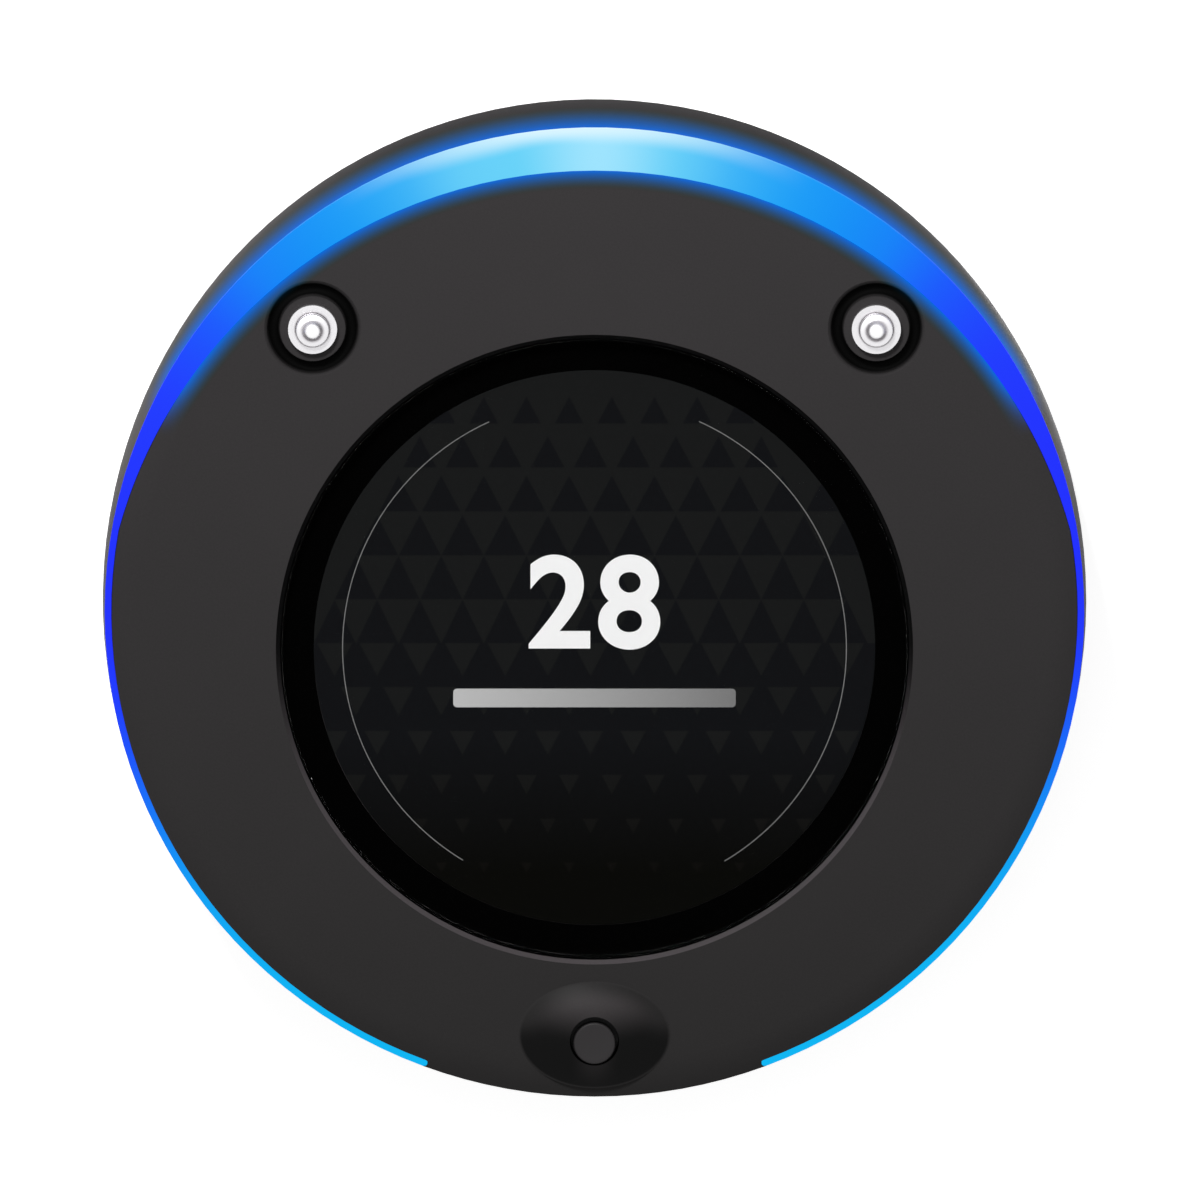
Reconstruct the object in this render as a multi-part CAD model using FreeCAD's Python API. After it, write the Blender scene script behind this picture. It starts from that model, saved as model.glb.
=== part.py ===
import FreeCAD, Part
import math
import os

Vector = FreeCAD.Vector
tiny = 1e-3                     # for telling levels apart

# Round stackable table pager. It lies flat with its printed face up: +Z up, +Y towards
# the wide part of the light, -Y towards the push button. The origin is the middle of
# the plane that it stands on. All sizes are in millimetres.

# Outline and levels
rim_radius = 52.0               # outer edge of the light guide
wall_bulge = 0.3                # swell of the side wall at half height
wall_draft = 0.2                # how far the side wall draws in at its foot
wall_thickness = 2.0
floor_thickness = 2.0
base_corner_radius = 1.0        # rounding between side wall and underside
foot_stand_off = 0.5            # rubber feet below the underside
face_height = 25.5              # resting plane to the flat face
face_edge_width = 3.6           # rolled edge of the face, inwards from the rim
face_edge_drop = 0.9            # how far it has dropped at the rim
cover_thickness = 1.8

# Light guide and its opening in the cover
light_line_width = 0.75         # thin line of light round the sides
crescent_width = 4.42           # light at its widest
crescent_offset = 4.69          # centre of the crescent's inner edge, towards the button
light_gap_half_angle = 20.5     # no light either side of straight below the button
guide_clearance = 0.06
guide_depth = 6.5               # ring of the light guide, inwards from the rim
guide_flange_thickness = 1.4
guide_wall_clearance = 0.15

# Window
window_radius = 33.4
window_offset = -3.8            # centre of the window along Y
window_sink = 0.45              # lens surface below the face
window_clearance = 0.1
lens_thickness = 1.6
lens_edge_chamfer = 0.15
label_radius = 29.8
label_thickness = 0.15
label_clearance = 0.05
pan_thickness = 1.5             # tray below the window
pan_wall = 1.8

# Push button
nub_half_width = 8.1
nub_half_depth = 5.75
nub_shift = 0.5                 # middle of the nub, inwards from the button's axis
nub_height = 1.6
button_edge_distance = 6.3      # axis of the button, inwards from the rim
button_hole_radius = 2.6
button_cap_radius = 2.25
button_cap_height = 1.2         # slim top of the cap
button_sink = 0.5               # cap top below the nub's crown
button_travel = 0.5
button_guide_clearance = 0.08
button_flange_radius = 3.4
button_flange_thickness = 0.8
button_stem_radius = 1.6
button_edge_radius = 0.2

# Charging pins
pin_edge_distance = 9.15        # axis of a pin, inwards from the rim
pin_angle = 45.76               # from +X towards +Y, and the same on the other side
pin_collar_radius = 2.6
pin_collar_height = 0.8
pin_head_radius = 1.8
pin_head_left = 0.4             # stands above the collar when pressed home
pin_dome_height = 0.75
pin_barrel_radius = 2.4
pin_barrel_wall = 0.4
pin_barrel_floor = 1.0
pin_hole_clearance = 0.05
pin_running_clearance = 0.05
pin_mouth_length = 0.9          # lip that holds the plunger in
pin_tail_length = 1.5           # wide tail of the plunger under that lip
pin_travel = 1.2
pin_boss_radius = 3.4
pin_boss_length = 5.0
pin_solder_radius = 0.6
pin_solder_length = 0.8         # below the main board
pin_spring_wire_radius = 0.2
pin_spring_turns = 7
wire_sides = 8                  # faces round the wire of a coil
groove_inner_radius = 3.5
groove_outer_radius = 4.85
groove_depth = 1.1
groove_lip_radius = 0.3

# Charging wells in the underside
well_radius = 3.6
well_depth = 1.3
contact_radius = 4.2
contact_clearance = 0.05
strap_width = 3.0
strap_thickness = 0.3
strap_reach = 8.3               # from the contact's centre to the upright leg

# Pocket in the underside that clears the nub of the pager below
pocket_margin = 0.8
pocket_depth = 1.9
pocket_roof = 1.4

# Screws, posts and bosses
screw_guide_gap = 0.5           # between the screw posts and the light guide
screw_angles = (90.0, 0.0, 180.0, -55.0, -125.0)
screw_thread_radius = 1.3
screw_pilot_relief = 1.0        # pilot hole past the screw's tip
screw_head_radius = 2.5
screw_head_height = 1.8
screw_clearance = 0.15
screw_pilot_clearance = 0.02
screw_length = 12.0
screw_slot_radius = 1.2
screw_slot_depth = 0.9
screw_head_level = 8.0          # underside of the plastic that the head clamps
post_radius = 3.5
post_height = 10.0              # above the floor
post_bore_clearance = 0.3

# Feet
foot_radius = 4.5
foot_edge_distance = 16.0       # middle of a foot, inwards from the rim
foot_angles = (25.0, 155.0, -148.0, -32.0)
foot_recess = 0.5
foot_clearance = 0.1

# Main board
board_edge_gap = 3.5            # between the main board and the side wall
board_thickness = 1.6
board_tab_half_width = 5.5
board_tab_gap = 0.8             # between the switch's tab and the side wall
board_hole_clearance = 0.2

# Light board
light_board_edge_gap = 0.4      # between the light board and the side wall
light_board_width = 4.0
light_board_thickness = 1.0
light_board_notch_clearance = 0.4
light_tab_angle = 205.0
light_tab_width = 10.0
light_tab_depth = 3.4
led_count = 22
led_first_angle = -62.0
led_width = 3.5
led_depth = 2.8
led_height = 0.9
led_gap = 0.4                   # between the lamps and the light guide
led_edge_gap = 0.3              # between the lamps and the light board's edge
led_lens_radius = 1.1
led_lens_depth = 0.2
shelf_count = 8
shelf_first_angle = 22.5
shelf_width = 1.6
shelf_depth = 1.8
header_width = 8.0
header_depth = 2.4

# Battery and its connector
battery_length = 50.0
battery_width = 34.0
battery_height = 6.0
battery_offset = -3.0           # middle of the battery along Y
battery_edge_radius = 1.5
battery_pad_thickness = 0.5
battery_pad_width = 8.0
bay_clearance = 0.5
bay_wall = 1.5
bay_height = 3.0
socket_distance = 6.0           # middle of the socket, from the battery's end
socket_shift = -9.0             # and from the battery's middle along Y
socket_width = 6.0
socket_length = 8.0
socket_height = 3.2
socket_wall = 0.8
plug_clearance = 0.05
plug_depth = 1.8                # inside the socket
plug_stand_out = 1.6
lead_radius = 0.5
lead_pitch = 2.0
lead_level = 6.2
lead_bend_radius = 1.35

# Vibration motor
motor_y = 27.0
motor_radius = 3.5
motor_length = 14.0
motor_start = -9.0              # back of the can along X
motor_can_wall = 0.5
motor_cap_length = 1.5
motor_shaft_radius = 0.5
motor_shaft_clearance = 0.05
motor_shaft_stand_out = 5.6
motor_shaft_seat = 2.0          # length of shaft inside the can
motor_weight_radius = 3.4
motor_weight_length = 4.0
motor_weight_gap = 0.8
motor_hub_radius = 1.1
motor_floor_gap = 0.7
cradle_length = 10.0
cradle_wall = 1.0
motor_lead_radius = 0.35
motor_lead_spacing = 2.4
motor_lead_run = 2.5

# Tact switch below the button
switch_size = 6.0
switch_height = 3.4
switch_base_thickness = 0.9
switch_lid_thickness = 0.4
switch_cavity_radius = 2.2
switch_plunger_radius = 1.7
switch_plunger_top = 5.0        # above the main board
switch_flange_radius = 2.1
switch_flange_thickness = 0.9
switch_dome_flat = 0.2          # height left when pressed home
switch_dome_thickness = 0.12
terminal_width = 0.7
terminal_thickness = 0.2
terminal_spacing = 4.5
terminal_height = 0.8
terminal_foot = 0.6

# Parts on the main board
buzzer_place = (0.0, -29.0)     # hangs below the board, over the sound holes
buzzer_radius = 6.0
buzzer_height = 6.5
buzzer_port_radius = 1.2
buzzer_edge_radius = 0.5
sound_hole_radius = 0.7
sound_hole_count = 6            # in a ring about a middle one
sound_ring_radius = 3.2
radio_place = (20.0, 14.0)
radio_board_size = (18.0, 14.0)
radio_board_thickness = 0.8
shield_size = (14.0, 11.0)
shield_height = 2.2
shield_edge_radius = 0.4
chip_place = (0.0, 4.0)
chip_size = 9.0
chip_height = 1.4
crystal_place = (0.0, -7.0)
crystal_length = 11.0
crystal_width = 4.6
crystal_height = 3.5
capacitor_places = ((-18.0, -14.0), (-9.0, -17.0))
capacitor_radius = 3.1
capacitor_height = 5.8
capacitor_skirt = 0.9
antenna_place = (2.0, 24.0)
antenna_coil_radius = 2.4
antenna_wire_radius = 0.4
antenna_turns = 9
antenna_pitch = 1.5
chip_parts_first = (8.0, -16.0)
chip_parts_rows = 4
chip_parts_columns = 5
chip_parts_pitch = 3.2
chip_part_size = (1.6, 0.8, 0.6)

# Levels that follow from the sizes above
pin_head_height = pin_travel + pin_head_left
switch_dome_height = button_travel + switch_dome_flat
underside = foot_stand_off
floor_top = underside + floor_thickness
split_level = face_height - cover_thickness
rim_level = face_height - face_edge_drop
wall_inner_radius = rim_radius - wall_thickness
face_edge_start = rim_radius - face_edge_width
cover_radius = rim_radius - light_line_width
crescent_radius = rim_radius - crescent_width + crescent_offset
guide_inner_radius = rim_radius - guide_depth
button_offset = button_edge_distance - rim_radius
nub_offset = button_offset + nub_shift
pin_x = (rim_radius - pin_edge_distance) * math.cos(math.radians(pin_angle))
pin_y = (rim_radius - pin_edge_distance) * math.sin(math.radians(pin_angle))
screw_circle_radius = guide_inner_radius - screw_guide_gap - post_radius
foot_circle_radius = rim_radius - foot_edge_distance
board_radius = wall_inner_radius - board_edge_gap
board_tab_reach = wall_inner_radius - board_tab_gap
light_board_outer_radius = wall_inner_radius - light_board_edge_gap
light_board_inner_radius = light_board_outer_radius - light_board_width
led_circle_radius = light_board_outer_radius - led_edge_gap - led_depth / 2
shelf_inner_radius = wall_inner_radius - shelf_depth
socket_x = -battery_length / 2 - socket_distance
socket_y = battery_offset + socket_shift
board_underside = floor_top + post_height
board_top = board_underside + board_thickness
lens_top = face_height - window_sink
lens_underside = lens_top - lens_thickness
pan_floor = lens_underside - label_thickness
guide_underside = split_level - guide_flange_thickness
light_board_top = guide_underside - led_gap - led_height
light_board_underside = light_board_top - light_board_thickness
collar_top = face_height + pin_collar_height
mouth_level = collar_top - pin_mouth_length
tail_underside = mouth_level - pin_tail_length
barrel_bore_radius = pin_barrel_radius - pin_barrel_wall
button_top = face_height + nub_height - button_sink
button_guide_radius = button_hole_radius - button_guide_clearance
motor_level = floor_top + motor_radius + motor_floor_gap
battery_underside = floor_top + battery_pad_thickness


def disc(radius, low, high, x=0.0, y=0.0):
    return Part.makeCylinder(radius, high - low, Vector(x, y, low))


def tube(inner, outer, low, high, x=0.0, y=0.0):
    return disc(outer, low, high, x, y).cut(disc(inner, low, high, x, y))


def block(size_x, size_y, low, high, x=0.0, y=0.0):
    return Part.makeBox(size_x, size_y, high - low, Vector(x - size_x / 2, y - size_y / 2, low))


def at_angle(shape, degrees):
    turned = shape.copy()
    turned.rotate(Vector(0, 0, 0), Vector(0, 0, 1), degrees)
    return turned


def on_circle(radius, degrees):
    angle = math.radians(degrees)
    return radius * math.cos(angle), radius * math.sin(angle)


def join(shapes):
    return shapes[0].fuse(shapes[1:]).removeSplitter()


def revolve(edges, x=0.0, y=0.0):
    solid = Part.Face(Part.Wire(edges)).revolve(Vector(0, 0, 0), Vector(0, 0, 1), 360)
    solid.translate(Vector(x, y, 0))
    return solid


def line(start, end):
    return Part.makeLine(Vector(start[0], 0, start[1]), Vector(end[0], 0, end[1]))


def lines(points):
    return [line(start, end) for start, end in zip(points, points[1:])]


def arc(start, middle, end):
    points = [Vector(radius, 0, level) for radius, level in (start, middle, end)]
    return Part.Arc(*points).toShape()


def ellipse_disc(half_x, half_y, low, high, y):
    if half_x >= half_y:
        curve = Part.Ellipse(Vector(0, y, low), half_x, half_y)
    else:
        curve = Part.Ellipse(Vector(0, y + half_y, low), Vector(half_x, y, low), Vector(0, y, low))
    return Part.Face(Part.Wire(curve.toShape())).extrude(Vector(0, 0, high - low))


def gap_wedge(low, high):
    """Wedge about -Y, as wide as the stretch that has no light."""
    reach = 2 * rim_radius
    side = reach * math.tan(math.radians(light_gap_half_angle))
    corners = [Vector(0, 0, low), Vector(-side, -reach, low), Vector(side, -reach, low), Vector(0, 0, low)]
    return Part.Face(Part.makePolygon(corners)).extrude(Vector(0, 0, high - low))


def face_body(low, radius):
    """Everything below the shared upper surface of cover and light guide."""
    run = rim_radius - face_edge_start
    bend = (run ** 2 + face_edge_drop ** 2) / (2 * face_edge_drop)
    half = math.asin(run / bend) / 2
    middle = (face_edge_start + bend * math.sin(half), face_height - bend * (1 - math.cos(half)))
    edges = lines([(0, low), (0, face_height), (face_edge_start, face_height)])
    edges.append(arc((face_edge_start, face_height), middle, (rim_radius, rim_level)))
    edges += lines([(rim_radius, rim_level), (rim_radius, low), (0, low)])
    return revolve(edges).common(disc(radius, low, face_height))


def cover_outline(low, high, growth=0.0):
    """Plan shape of the cover: two discs that overlap, and a tongue where the light stops."""
    round_part = disc(cover_radius + growth, low, high)
    round_part = round_part.common(disc(crescent_radius + growth, low, high, 0, -crescent_offset))
    tongue = disc(rim_radius, low, high).common(gap_wedge(low, high))
    end_radius = (rim_radius - cover_radius) / 2
    for side in (-1, 1):
        x, y = on_circle(rim_radius - end_radius, -90 + side * light_gap_half_angle)
        tongue = tongue.cut(disc(end_radius - growth, low, high, x, y))
    return round_part.fuse(tongue)


def screw_places():
    return [on_circle(screw_circle_radius, angle) for angle in screw_angles]


def sound_hole_places():
    x, y = buzzer_place
    ring = [on_circle(sound_ring_radius, index * 360 / sound_hole_count) for index in range(sound_hole_count)]
    return [buzzer_place] + [(x + step_x, y + step_y) for step_x, step_y in ring]


def coil(turns, pitch, coil_radius, wire_radius):
    """Coil along +Z: half turns that lean to one side and the other, of eight-sided wire."""
    half_turns = []
    for index in range(2 * turns):
        side = 1 if index % 2 == 0 else -1
        level = index * pitch / 2
        lift = Vector(0, side * math.hypot(coil_radius, pitch / 4), level + pitch / 4)
        half_turns.append(Part.Arc(Vector(side * coil_radius, 0, level), lift,
                                   Vector(-side * coil_radius, 0, level + pitch / 2)).toShape())
    corners = []
    for index in range(wire_sides + 1):
        angle = 2 * math.pi * (index + 0.5) / wire_sides
        corners.append(Vector(coil_radius + wire_radius * math.cos(angle), 0, wire_radius * math.sin(angle)))
    return Part.Wire(half_turns).makePipeShell([Part.makePolygon(corners)], True, False)


def base_shell():
    foot_of_wall = rim_radius - wall_draft
    corner = base_corner_radius
    middle = corner * (1 - math.sqrt(0.5))
    corner_top = underside + corner
    half_level = (corner_top + split_level) / 2
    edges = lines([(0, underside), (foot_of_wall - corner, underside)])
    edges.append(arc((foot_of_wall - corner, underside), (foot_of_wall - middle, underside + middle),
                     (foot_of_wall, corner_top)))
    edges.append(arc((foot_of_wall, corner_top), (rim_radius + wall_bulge, half_level),
                     (rim_radius, split_level)))
    edges += lines([(rim_radius, split_level), (0, split_level), (0, underside)])
    outside = revolve(edges)
    shell = outside.cut(disc(wall_inner_radius, floor_top, split_level))

    added = [disc(post_radius, floor_top, board_underside, x, y) for x, y in screw_places()]
    rib_depth = shelf_depth + wall_thickness / 2
    for index in range(shelf_count):
        rib = block(rib_depth, shelf_width, floor_top, light_board_underside,
                    shelf_inner_radius + rib_depth / 2)
        added.append(at_angle(rib, shelf_first_angle + index * 360 / shelf_count))
    bay_x = battery_length + 2 * bay_clearance
    bay_y = battery_width + 2 * bay_clearance
    bay_top = floor_top + bay_height
    bay = block(bay_x + 2 * bay_wall, bay_y + 2 * bay_wall, floor_top, bay_top, 0, battery_offset)
    added.append(bay.cut(block(bay_x, bay_y, floor_top, bay_top, 0, battery_offset)))
    pocket_top = underside + pocket_depth
    roof = ellipse_disc(nub_half_width + pocket_margin + wall_thickness,
                        nub_half_depth + pocket_margin + wall_thickness,
                        underside, pocket_top + pocket_roof, nub_offset)
    added.append(roof.common(outside))
    shell = join([shell] + added)

    shell = shell.cut(ellipse_disc(nub_half_width + pocket_margin, nub_half_depth + pocket_margin,
                                   underside, pocket_top, nub_offset))
    for x, y in screw_places():
        shell = shell.cut(disc(screw_head_radius + post_bore_clearance, underside, screw_head_level, x, y))
        shell = shell.cut(disc(screw_thread_radius + screw_clearance, screw_head_level, board_underside, x, y))
    for x in (-pin_x, pin_x):
        shell = shell.cut(disc(well_radius, underside, underside + well_depth, x, pin_y))
        shell = shell.cut(disc(contact_radius + contact_clearance, underside + well_depth, floor_top, x, pin_y))
    for angle in foot_angles:
        x, y = on_circle(foot_circle_radius, angle)
        shell = shell.cut(disc(foot_radius + foot_clearance, underside, underside + foot_recess, x, y))
    for x, y in sound_hole_places():
        shell = shell.cut(disc(sound_hole_radius, underside, floor_top, x, y))
    return shell


def nub():
    """Raised oval mound: the top of a ball, stretched to an oval."""
    ball_radius = (nub_half_depth ** 2 + nub_height ** 2) / (2 * nub_height)
    centre = face_height + nub_height - ball_radius
    ball = Part.makeSphere(ball_radius, Vector(0, 0, centre))
    cap = ball.common(block(4 * nub_half_depth, 4 * nub_half_depth, split_level, face_height + 2 * nub_height))
    outline = disc(nub_half_depth, split_level, face_height + 2 * nub_height)
    stretch = FreeCAD.Matrix()
    stretch.scale(nub_half_width / nub_half_depth, 1, 1)
    mound = cap.common(outline).transformGeometry(stretch)
    mound.translate(Vector(0, nub_offset, 0))
    return mound


def pin_groove(x):
    """Trough with rounded lips round a charging pin."""
    middle = (groove_inner_radius + groove_outer_radius) / 2
    half = (groove_outer_radius - groove_inner_radius) / 2
    bottom = face_height - groove_depth
    bend_level = bottom + half * 0.8
    edges = lines([(groove_inner_radius, bend_level), (groove_inner_radius, face_height),
                   (groove_outer_radius + groove_lip_radius, face_height),
                   (groove_outer_radius, face_height - groove_lip_radius),
                   (groove_outer_radius, bend_level)])
    edges.append(arc((groove_outer_radius, bend_level), (middle, bottom), (groove_inner_radius, bend_level)))
    return revolve(edges, x, pin_y)


def top_cover():
    cover = face_body(split_level, rim_radius).common(cover_outline(split_level, face_height))
    added = [disc(window_radius + pan_wall, pan_floor - pan_thickness, split_level, 0, window_offset), nub()]
    added += [disc(post_radius, board_top, split_level, x, y) for x, y in screw_places()]
    added += [disc(pin_boss_radius, split_level - pin_boss_length, split_level, x, pin_y)
              for x in (-pin_x, pin_x)]
    cover = join([cover] + added)

    cover = cover.cut(disc(window_radius, pan_floor, face_height, 0, window_offset))
    chamfer = Part.makeCone(window_radius, window_radius + window_sink, window_sink,
                            Vector(0, window_offset, lens_top))
    cover = cover.cut(chamfer)
    cover = cover.cut(disc(button_hole_radius, split_level, face_height + 2 * nub_height, 0, button_offset))
    thread_top = screw_head_level + screw_length
    for x, y in screw_places():
        pilot = screw_thread_radius + screw_pilot_clearance
        cover = cover.cut(disc(pilot, board_top, thread_top + screw_pilot_relief, x, y))
    for x in (-pin_x, pin_x):
        cover = cover.cut(disc(pin_barrel_radius + pin_hole_clearance,
                               split_level - pin_boss_length, face_height, x, pin_y))
        cover = cover.cut(pin_groove(x))
    return cover


def light_guide():
    above = face_body(split_level, rim_radius).cut(disc(guide_inner_radius, split_level, face_height))
    above = above.cut(cover_outline(split_level, face_height, guide_clearance))
    flange = tube(guide_inner_radius, wall_inner_radius - guide_wall_clearance, guide_underside, split_level)
    flange = flange.cut(gap_wedge(guide_underside, split_level))
    guide = above.fuse(flange).removeSplitter()
    for x in (-pin_x, pin_x):
        guide = guide.cut(disc(pin_boss_radius + guide_wall_clearance, guide_underside, split_level, x, pin_y))
    return guide


def window_lens():
    lens = disc(window_radius - window_clearance, lens_underside, lens_top, 0, window_offset)
    rim = [edge for edge in lens.Edges if edge.BoundBox.ZMin > lens_top - tiny]
    return lens.makeChamfer(lens_edge_chamfer, rim)


def label_insert():
    return disc(label_radius, pan_floor, lens_underside, 0, window_offset)


def lens_tape_ring():
    return tube(label_radius + label_clearance, window_radius - window_clearance,
                pan_floor, lens_underside, 0, window_offset)


def button_cap():
    flange_top = split_level - button_guide_clearance
    flange_low = flange_top - button_flange_thickness
    stem_low = board_top + switch_plunger_top
    cap = disc(button_cap_radius, button_top - button_cap_height, button_top, 0, button_offset)
    crown = [edge for edge in cap.Edges if edge.BoundBox.ZMin > button_top - tiny]
    cap = cap.makeFillet(button_edge_radius, crown)
    return join([cap,
                 disc(button_guide_radius, flange_top, button_top - button_cap_height, 0, button_offset),
                 disc(button_flange_radius, flange_low, flange_top, 0, button_offset),
                 disc(button_stem_radius, stem_low, flange_low, 0, button_offset)])


def switch_body():
    top = board_top + switch_height
    body = block(switch_size, switch_size, board_top, top, 0, button_offset)
    body = body.cut(disc(switch_cavity_radius, board_top + switch_base_thickness,
                         top - switch_lid_thickness, 0, button_offset))
    return body.cut(disc(switch_plunger_radius + button_guide_clearance, top - switch_lid_thickness,
                         top, 0, button_offset))


def switch_plunger():
    flange_low = board_top + switch_base_thickness + switch_dome_height
    return join([disc(switch_flange_radius, flange_low, flange_low + switch_flange_thickness, 0, button_offset),
                 disc(switch_plunger_radius, flange_low, board_top + switch_plunger_top, 0, button_offset)])


def switch_dome():
    low = board_top + switch_base_thickness
    radius = switch_flange_radius
    height = switch_dome_height
    thick = switch_dome_thickness

    def shoulder(rim, crown):
        ball = (rim ** 2 + crown ** 2) / (2 * crown)
        half = math.asin(rim / ball) / 2
        return ball * math.sin(half), low + crown - ball * (1 - math.cos(half))

    inner = (radius - thick, height - thick)
    edges = [arc((0, low + height), shoulder(radius, height), (radius, low)),
             line((radius, low), (inner[0], low)),
             arc((inner[0], low), shoulder(*inner), (0, low + inner[1])),
             line((0, low + inner[1]), (0, low + height))]
    return revolve(edges, 0, button_offset)


def switch_terminals():
    legs = []
    for side in (-1, 1):
        wall = side * switch_size / 2
        outer = wall + side * terminal_thickness / 2
        foot_x = wall + side * terminal_foot / 2
        for row in (-1, 1):
            y = button_offset + row * terminal_spacing / 2
            upright_top = board_top + terminal_height
            foot_top = board_top + terminal_thickness
            upright = block(terminal_thickness, terminal_width, board_top, upright_top, outer, y)
            foot = block(terminal_foot, terminal_width, board_top, foot_top, foot_x, y)
            legs.append(join([upright, foot]))
    return Part.makeCompound(legs)


def charge_pin_barrel(x):
    barrel = join([disc(pin_barrel_radius, board_top, face_height, x, pin_y),
                   disc(pin_collar_radius, face_height, collar_top, x, pin_y),
                   disc(pin_solder_radius, board_underside - pin_solder_length, board_top, x, pin_y)])
    barrel = barrel.cut(disc(barrel_bore_radius, board_top + pin_barrel_floor, mouth_level, x, pin_y))
    return barrel.cut(disc(pin_head_radius + pin_running_clearance, mouth_level, collar_top, x, pin_y))


def charge_pin_plunger(x):
    top = collar_top + pin_head_height
    shoulder = top - pin_dome_height
    ball = (pin_head_radius ** 2 + pin_dome_height ** 2) / (2 * pin_dome_height)
    half = math.asin(min(1.0, pin_head_radius / ball)) / 2
    tail_radius = barrel_bore_radius - pin_running_clearance
    edges = lines([(0, tail_underside), (0, top)])
    edges.append(arc((0, top), (ball * math.sin(half), top - ball * (1 - math.cos(half))),
                     (pin_head_radius, shoulder)))
    edges += lines([(pin_head_radius, shoulder), (pin_head_radius, mouth_level), (tail_radius, mouth_level),
                    (tail_radius, tail_underside), (0, tail_underside)])
    return revolve(edges, x, pin_y)


def charge_pin_spring(x):
    low = board_top + pin_barrel_floor + pin_spring_wire_radius
    pitch = (tail_underside - pin_spring_wire_radius - low) / pin_spring_turns
    coil_radius = barrel_bore_radius - pin_spring_wire_radius - 2 * pin_running_clearance
    spring = coil(pin_spring_turns, pitch, coil_radius, pin_spring_wire_radius)
    spring.translate(Vector(x, pin_y, low))
    return spring


def base_contact(x):
    return disc(contact_radius, underside + well_depth, floor_top, x, pin_y)


def contact_strap(x):
    low = floor_top
    leg_y = pin_y - strap_reach
    run = block(strap_width, strap_reach + strap_width / 2, low, low + strap_thickness,
                x, leg_y + (strap_reach + strap_width / 2) / 2)
    leg = block(strap_width, strap_thickness, low, board_underside, x, leg_y + strap_thickness / 2)
    return join([run, leg])


def housing_screws():
    screws = []
    for x, y in screw_places():
        head_low = screw_head_level - screw_head_height
        shank = disc(screw_thread_radius, screw_head_level, screw_head_level + screw_length, x, y)
        head = disc(screw_head_radius, head_low, screw_head_level, x, y)
        slot = disc(screw_slot_radius, head_low, head_low + screw_slot_depth, x, y)
        screws.append(join([head, shank]).cut(slot))
    return Part.makeCompound(screws)


def rubber_feet():
    feet = []
    for angle in foot_angles:
        x, y = on_circle(foot_circle_radius, angle)
        feet.append(disc(foot_radius, 0, underside + foot_recess, x, y))
    return Part.makeCompound(feet)


def main_board():
    board = disc(board_radius, board_underside, board_top)
    tab = block(2 * board_tab_half_width, board_tab_reach, board_underside, board_top, 0, -board_tab_reach / 2)
    board = join([board, tab])
    for x, y in screw_places():
        board = board.cut(disc(screw_thread_radius + board_hole_clearance, board_underside, board_top, x, y))
    for x in (-pin_x, pin_x):
        board = board.cut(disc(pin_solder_radius + pin_hole_clearance, board_underside, board_top, x, pin_y))
    return board


def light_board():
    low, high = light_board_underside, light_board_top
    tab_low = light_board_inner_radius - light_tab_depth
    tab_depth = light_tab_depth + (light_board_outer_radius - light_board_inner_radius) / 2
    tab = at_angle(block(tab_depth, light_tab_width, low, high, tab_low + tab_depth / 2), light_tab_angle)
    board = tube(light_board_inner_radius, light_board_outer_radius, low, high).cut(gap_wedge(low, high))
    board = join([board, tab])
    for x in (-pin_x, pin_x):
        board = board.cut(disc(pin_boss_radius + light_board_notch_clearance, low, high, x, pin_y))
    return board


def edge_leds():
    sweep = 180 - 2 * led_first_angle
    lamps = []
    for index in range(led_count):
        lamp = block(led_depth, led_width, light_board_top, light_board_top + led_height, led_circle_radius)
        lamp = lamp.cut(disc(led_lens_radius, light_board_top + led_height - led_lens_depth,
                             light_board_top + led_height, led_circle_radius))
        lamps.append(at_angle(lamp, led_first_angle + index * sweep / (led_count - 1)))
    return Part.makeCompound(lamps)


def board_header():
    radius = light_board_inner_radius - light_tab_depth + header_depth / 2 + guide_wall_clearance
    return at_angle(block(header_depth, header_width, board_top, light_board_underside, radius), light_tab_angle)


def battery_cell():
    cell = block(battery_length, battery_width, battery_underside, battery_underside + battery_height,
                 0, battery_offset)
    return cell.makeFillet(battery_edge_radius, cell.Edges)


def battery_pads():
    spread = battery_length / 2 - battery_pad_width
    return Part.makeCompound([block(battery_pad_width, battery_width - battery_pad_width, floor_top,
                                    battery_underside, side * spread, battery_offset) for side in (-1, 1)])


def plug_level():
    return board_underside - socket_height


def battery_socket():
    low = plug_level()
    socket = block(socket_width, socket_length, low, board_underside, socket_x, socket_y)
    return socket.cut(block(socket_width - 2 * socket_wall, socket_length - 2 * socket_wall,
                            low, low + plug_depth, socket_x, socket_y))


def battery_plug():
    low = plug_level() - plug_stand_out
    gap = socket_wall + plug_clearance
    return block(socket_width - 2 * gap, socket_length - 2 * gap, low, plug_level() + plug_depth,
                 socket_x, socket_y)


def bent_wire(start, bend_x, bend_z, end_z, bend_radius, wire_radius):
    """Wire that runs along X, turns upwards in one arc and goes straight up."""
    x, y, z = start
    side = math.copysign(1, bend_x - x)
    before = Vector(bend_x - side * bend_radius, y, bend_z)
    after = Vector(bend_x, y, bend_z + bend_radius)
    share = math.sqrt(0.5)
    middle = Vector(bend_x - side * bend_radius * (1 - share), y, bend_z + bend_radius * (1 - share))
    path = Part.Wire([Part.makeLine(Vector(x, y, z), before), Part.Arc(before, middle, after).toShape(),
                      Part.makeLine(after, Vector(bend_x, y, end_z))])
    section = Part.Wire(Part.makeCircle(wire_radius, Vector(x, y, z), Vector(1, 0, 0)))
    return path.makePipeShell([section], True, True)


def battery_lead(side):
    y = socket_y + side * lead_pitch / 2
    start = (-battery_length / 2, y, lead_level)
    return bent_wire(start, socket_x, lead_level, plug_level() - plug_stand_out, lead_bend_radius, lead_radius)


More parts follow.
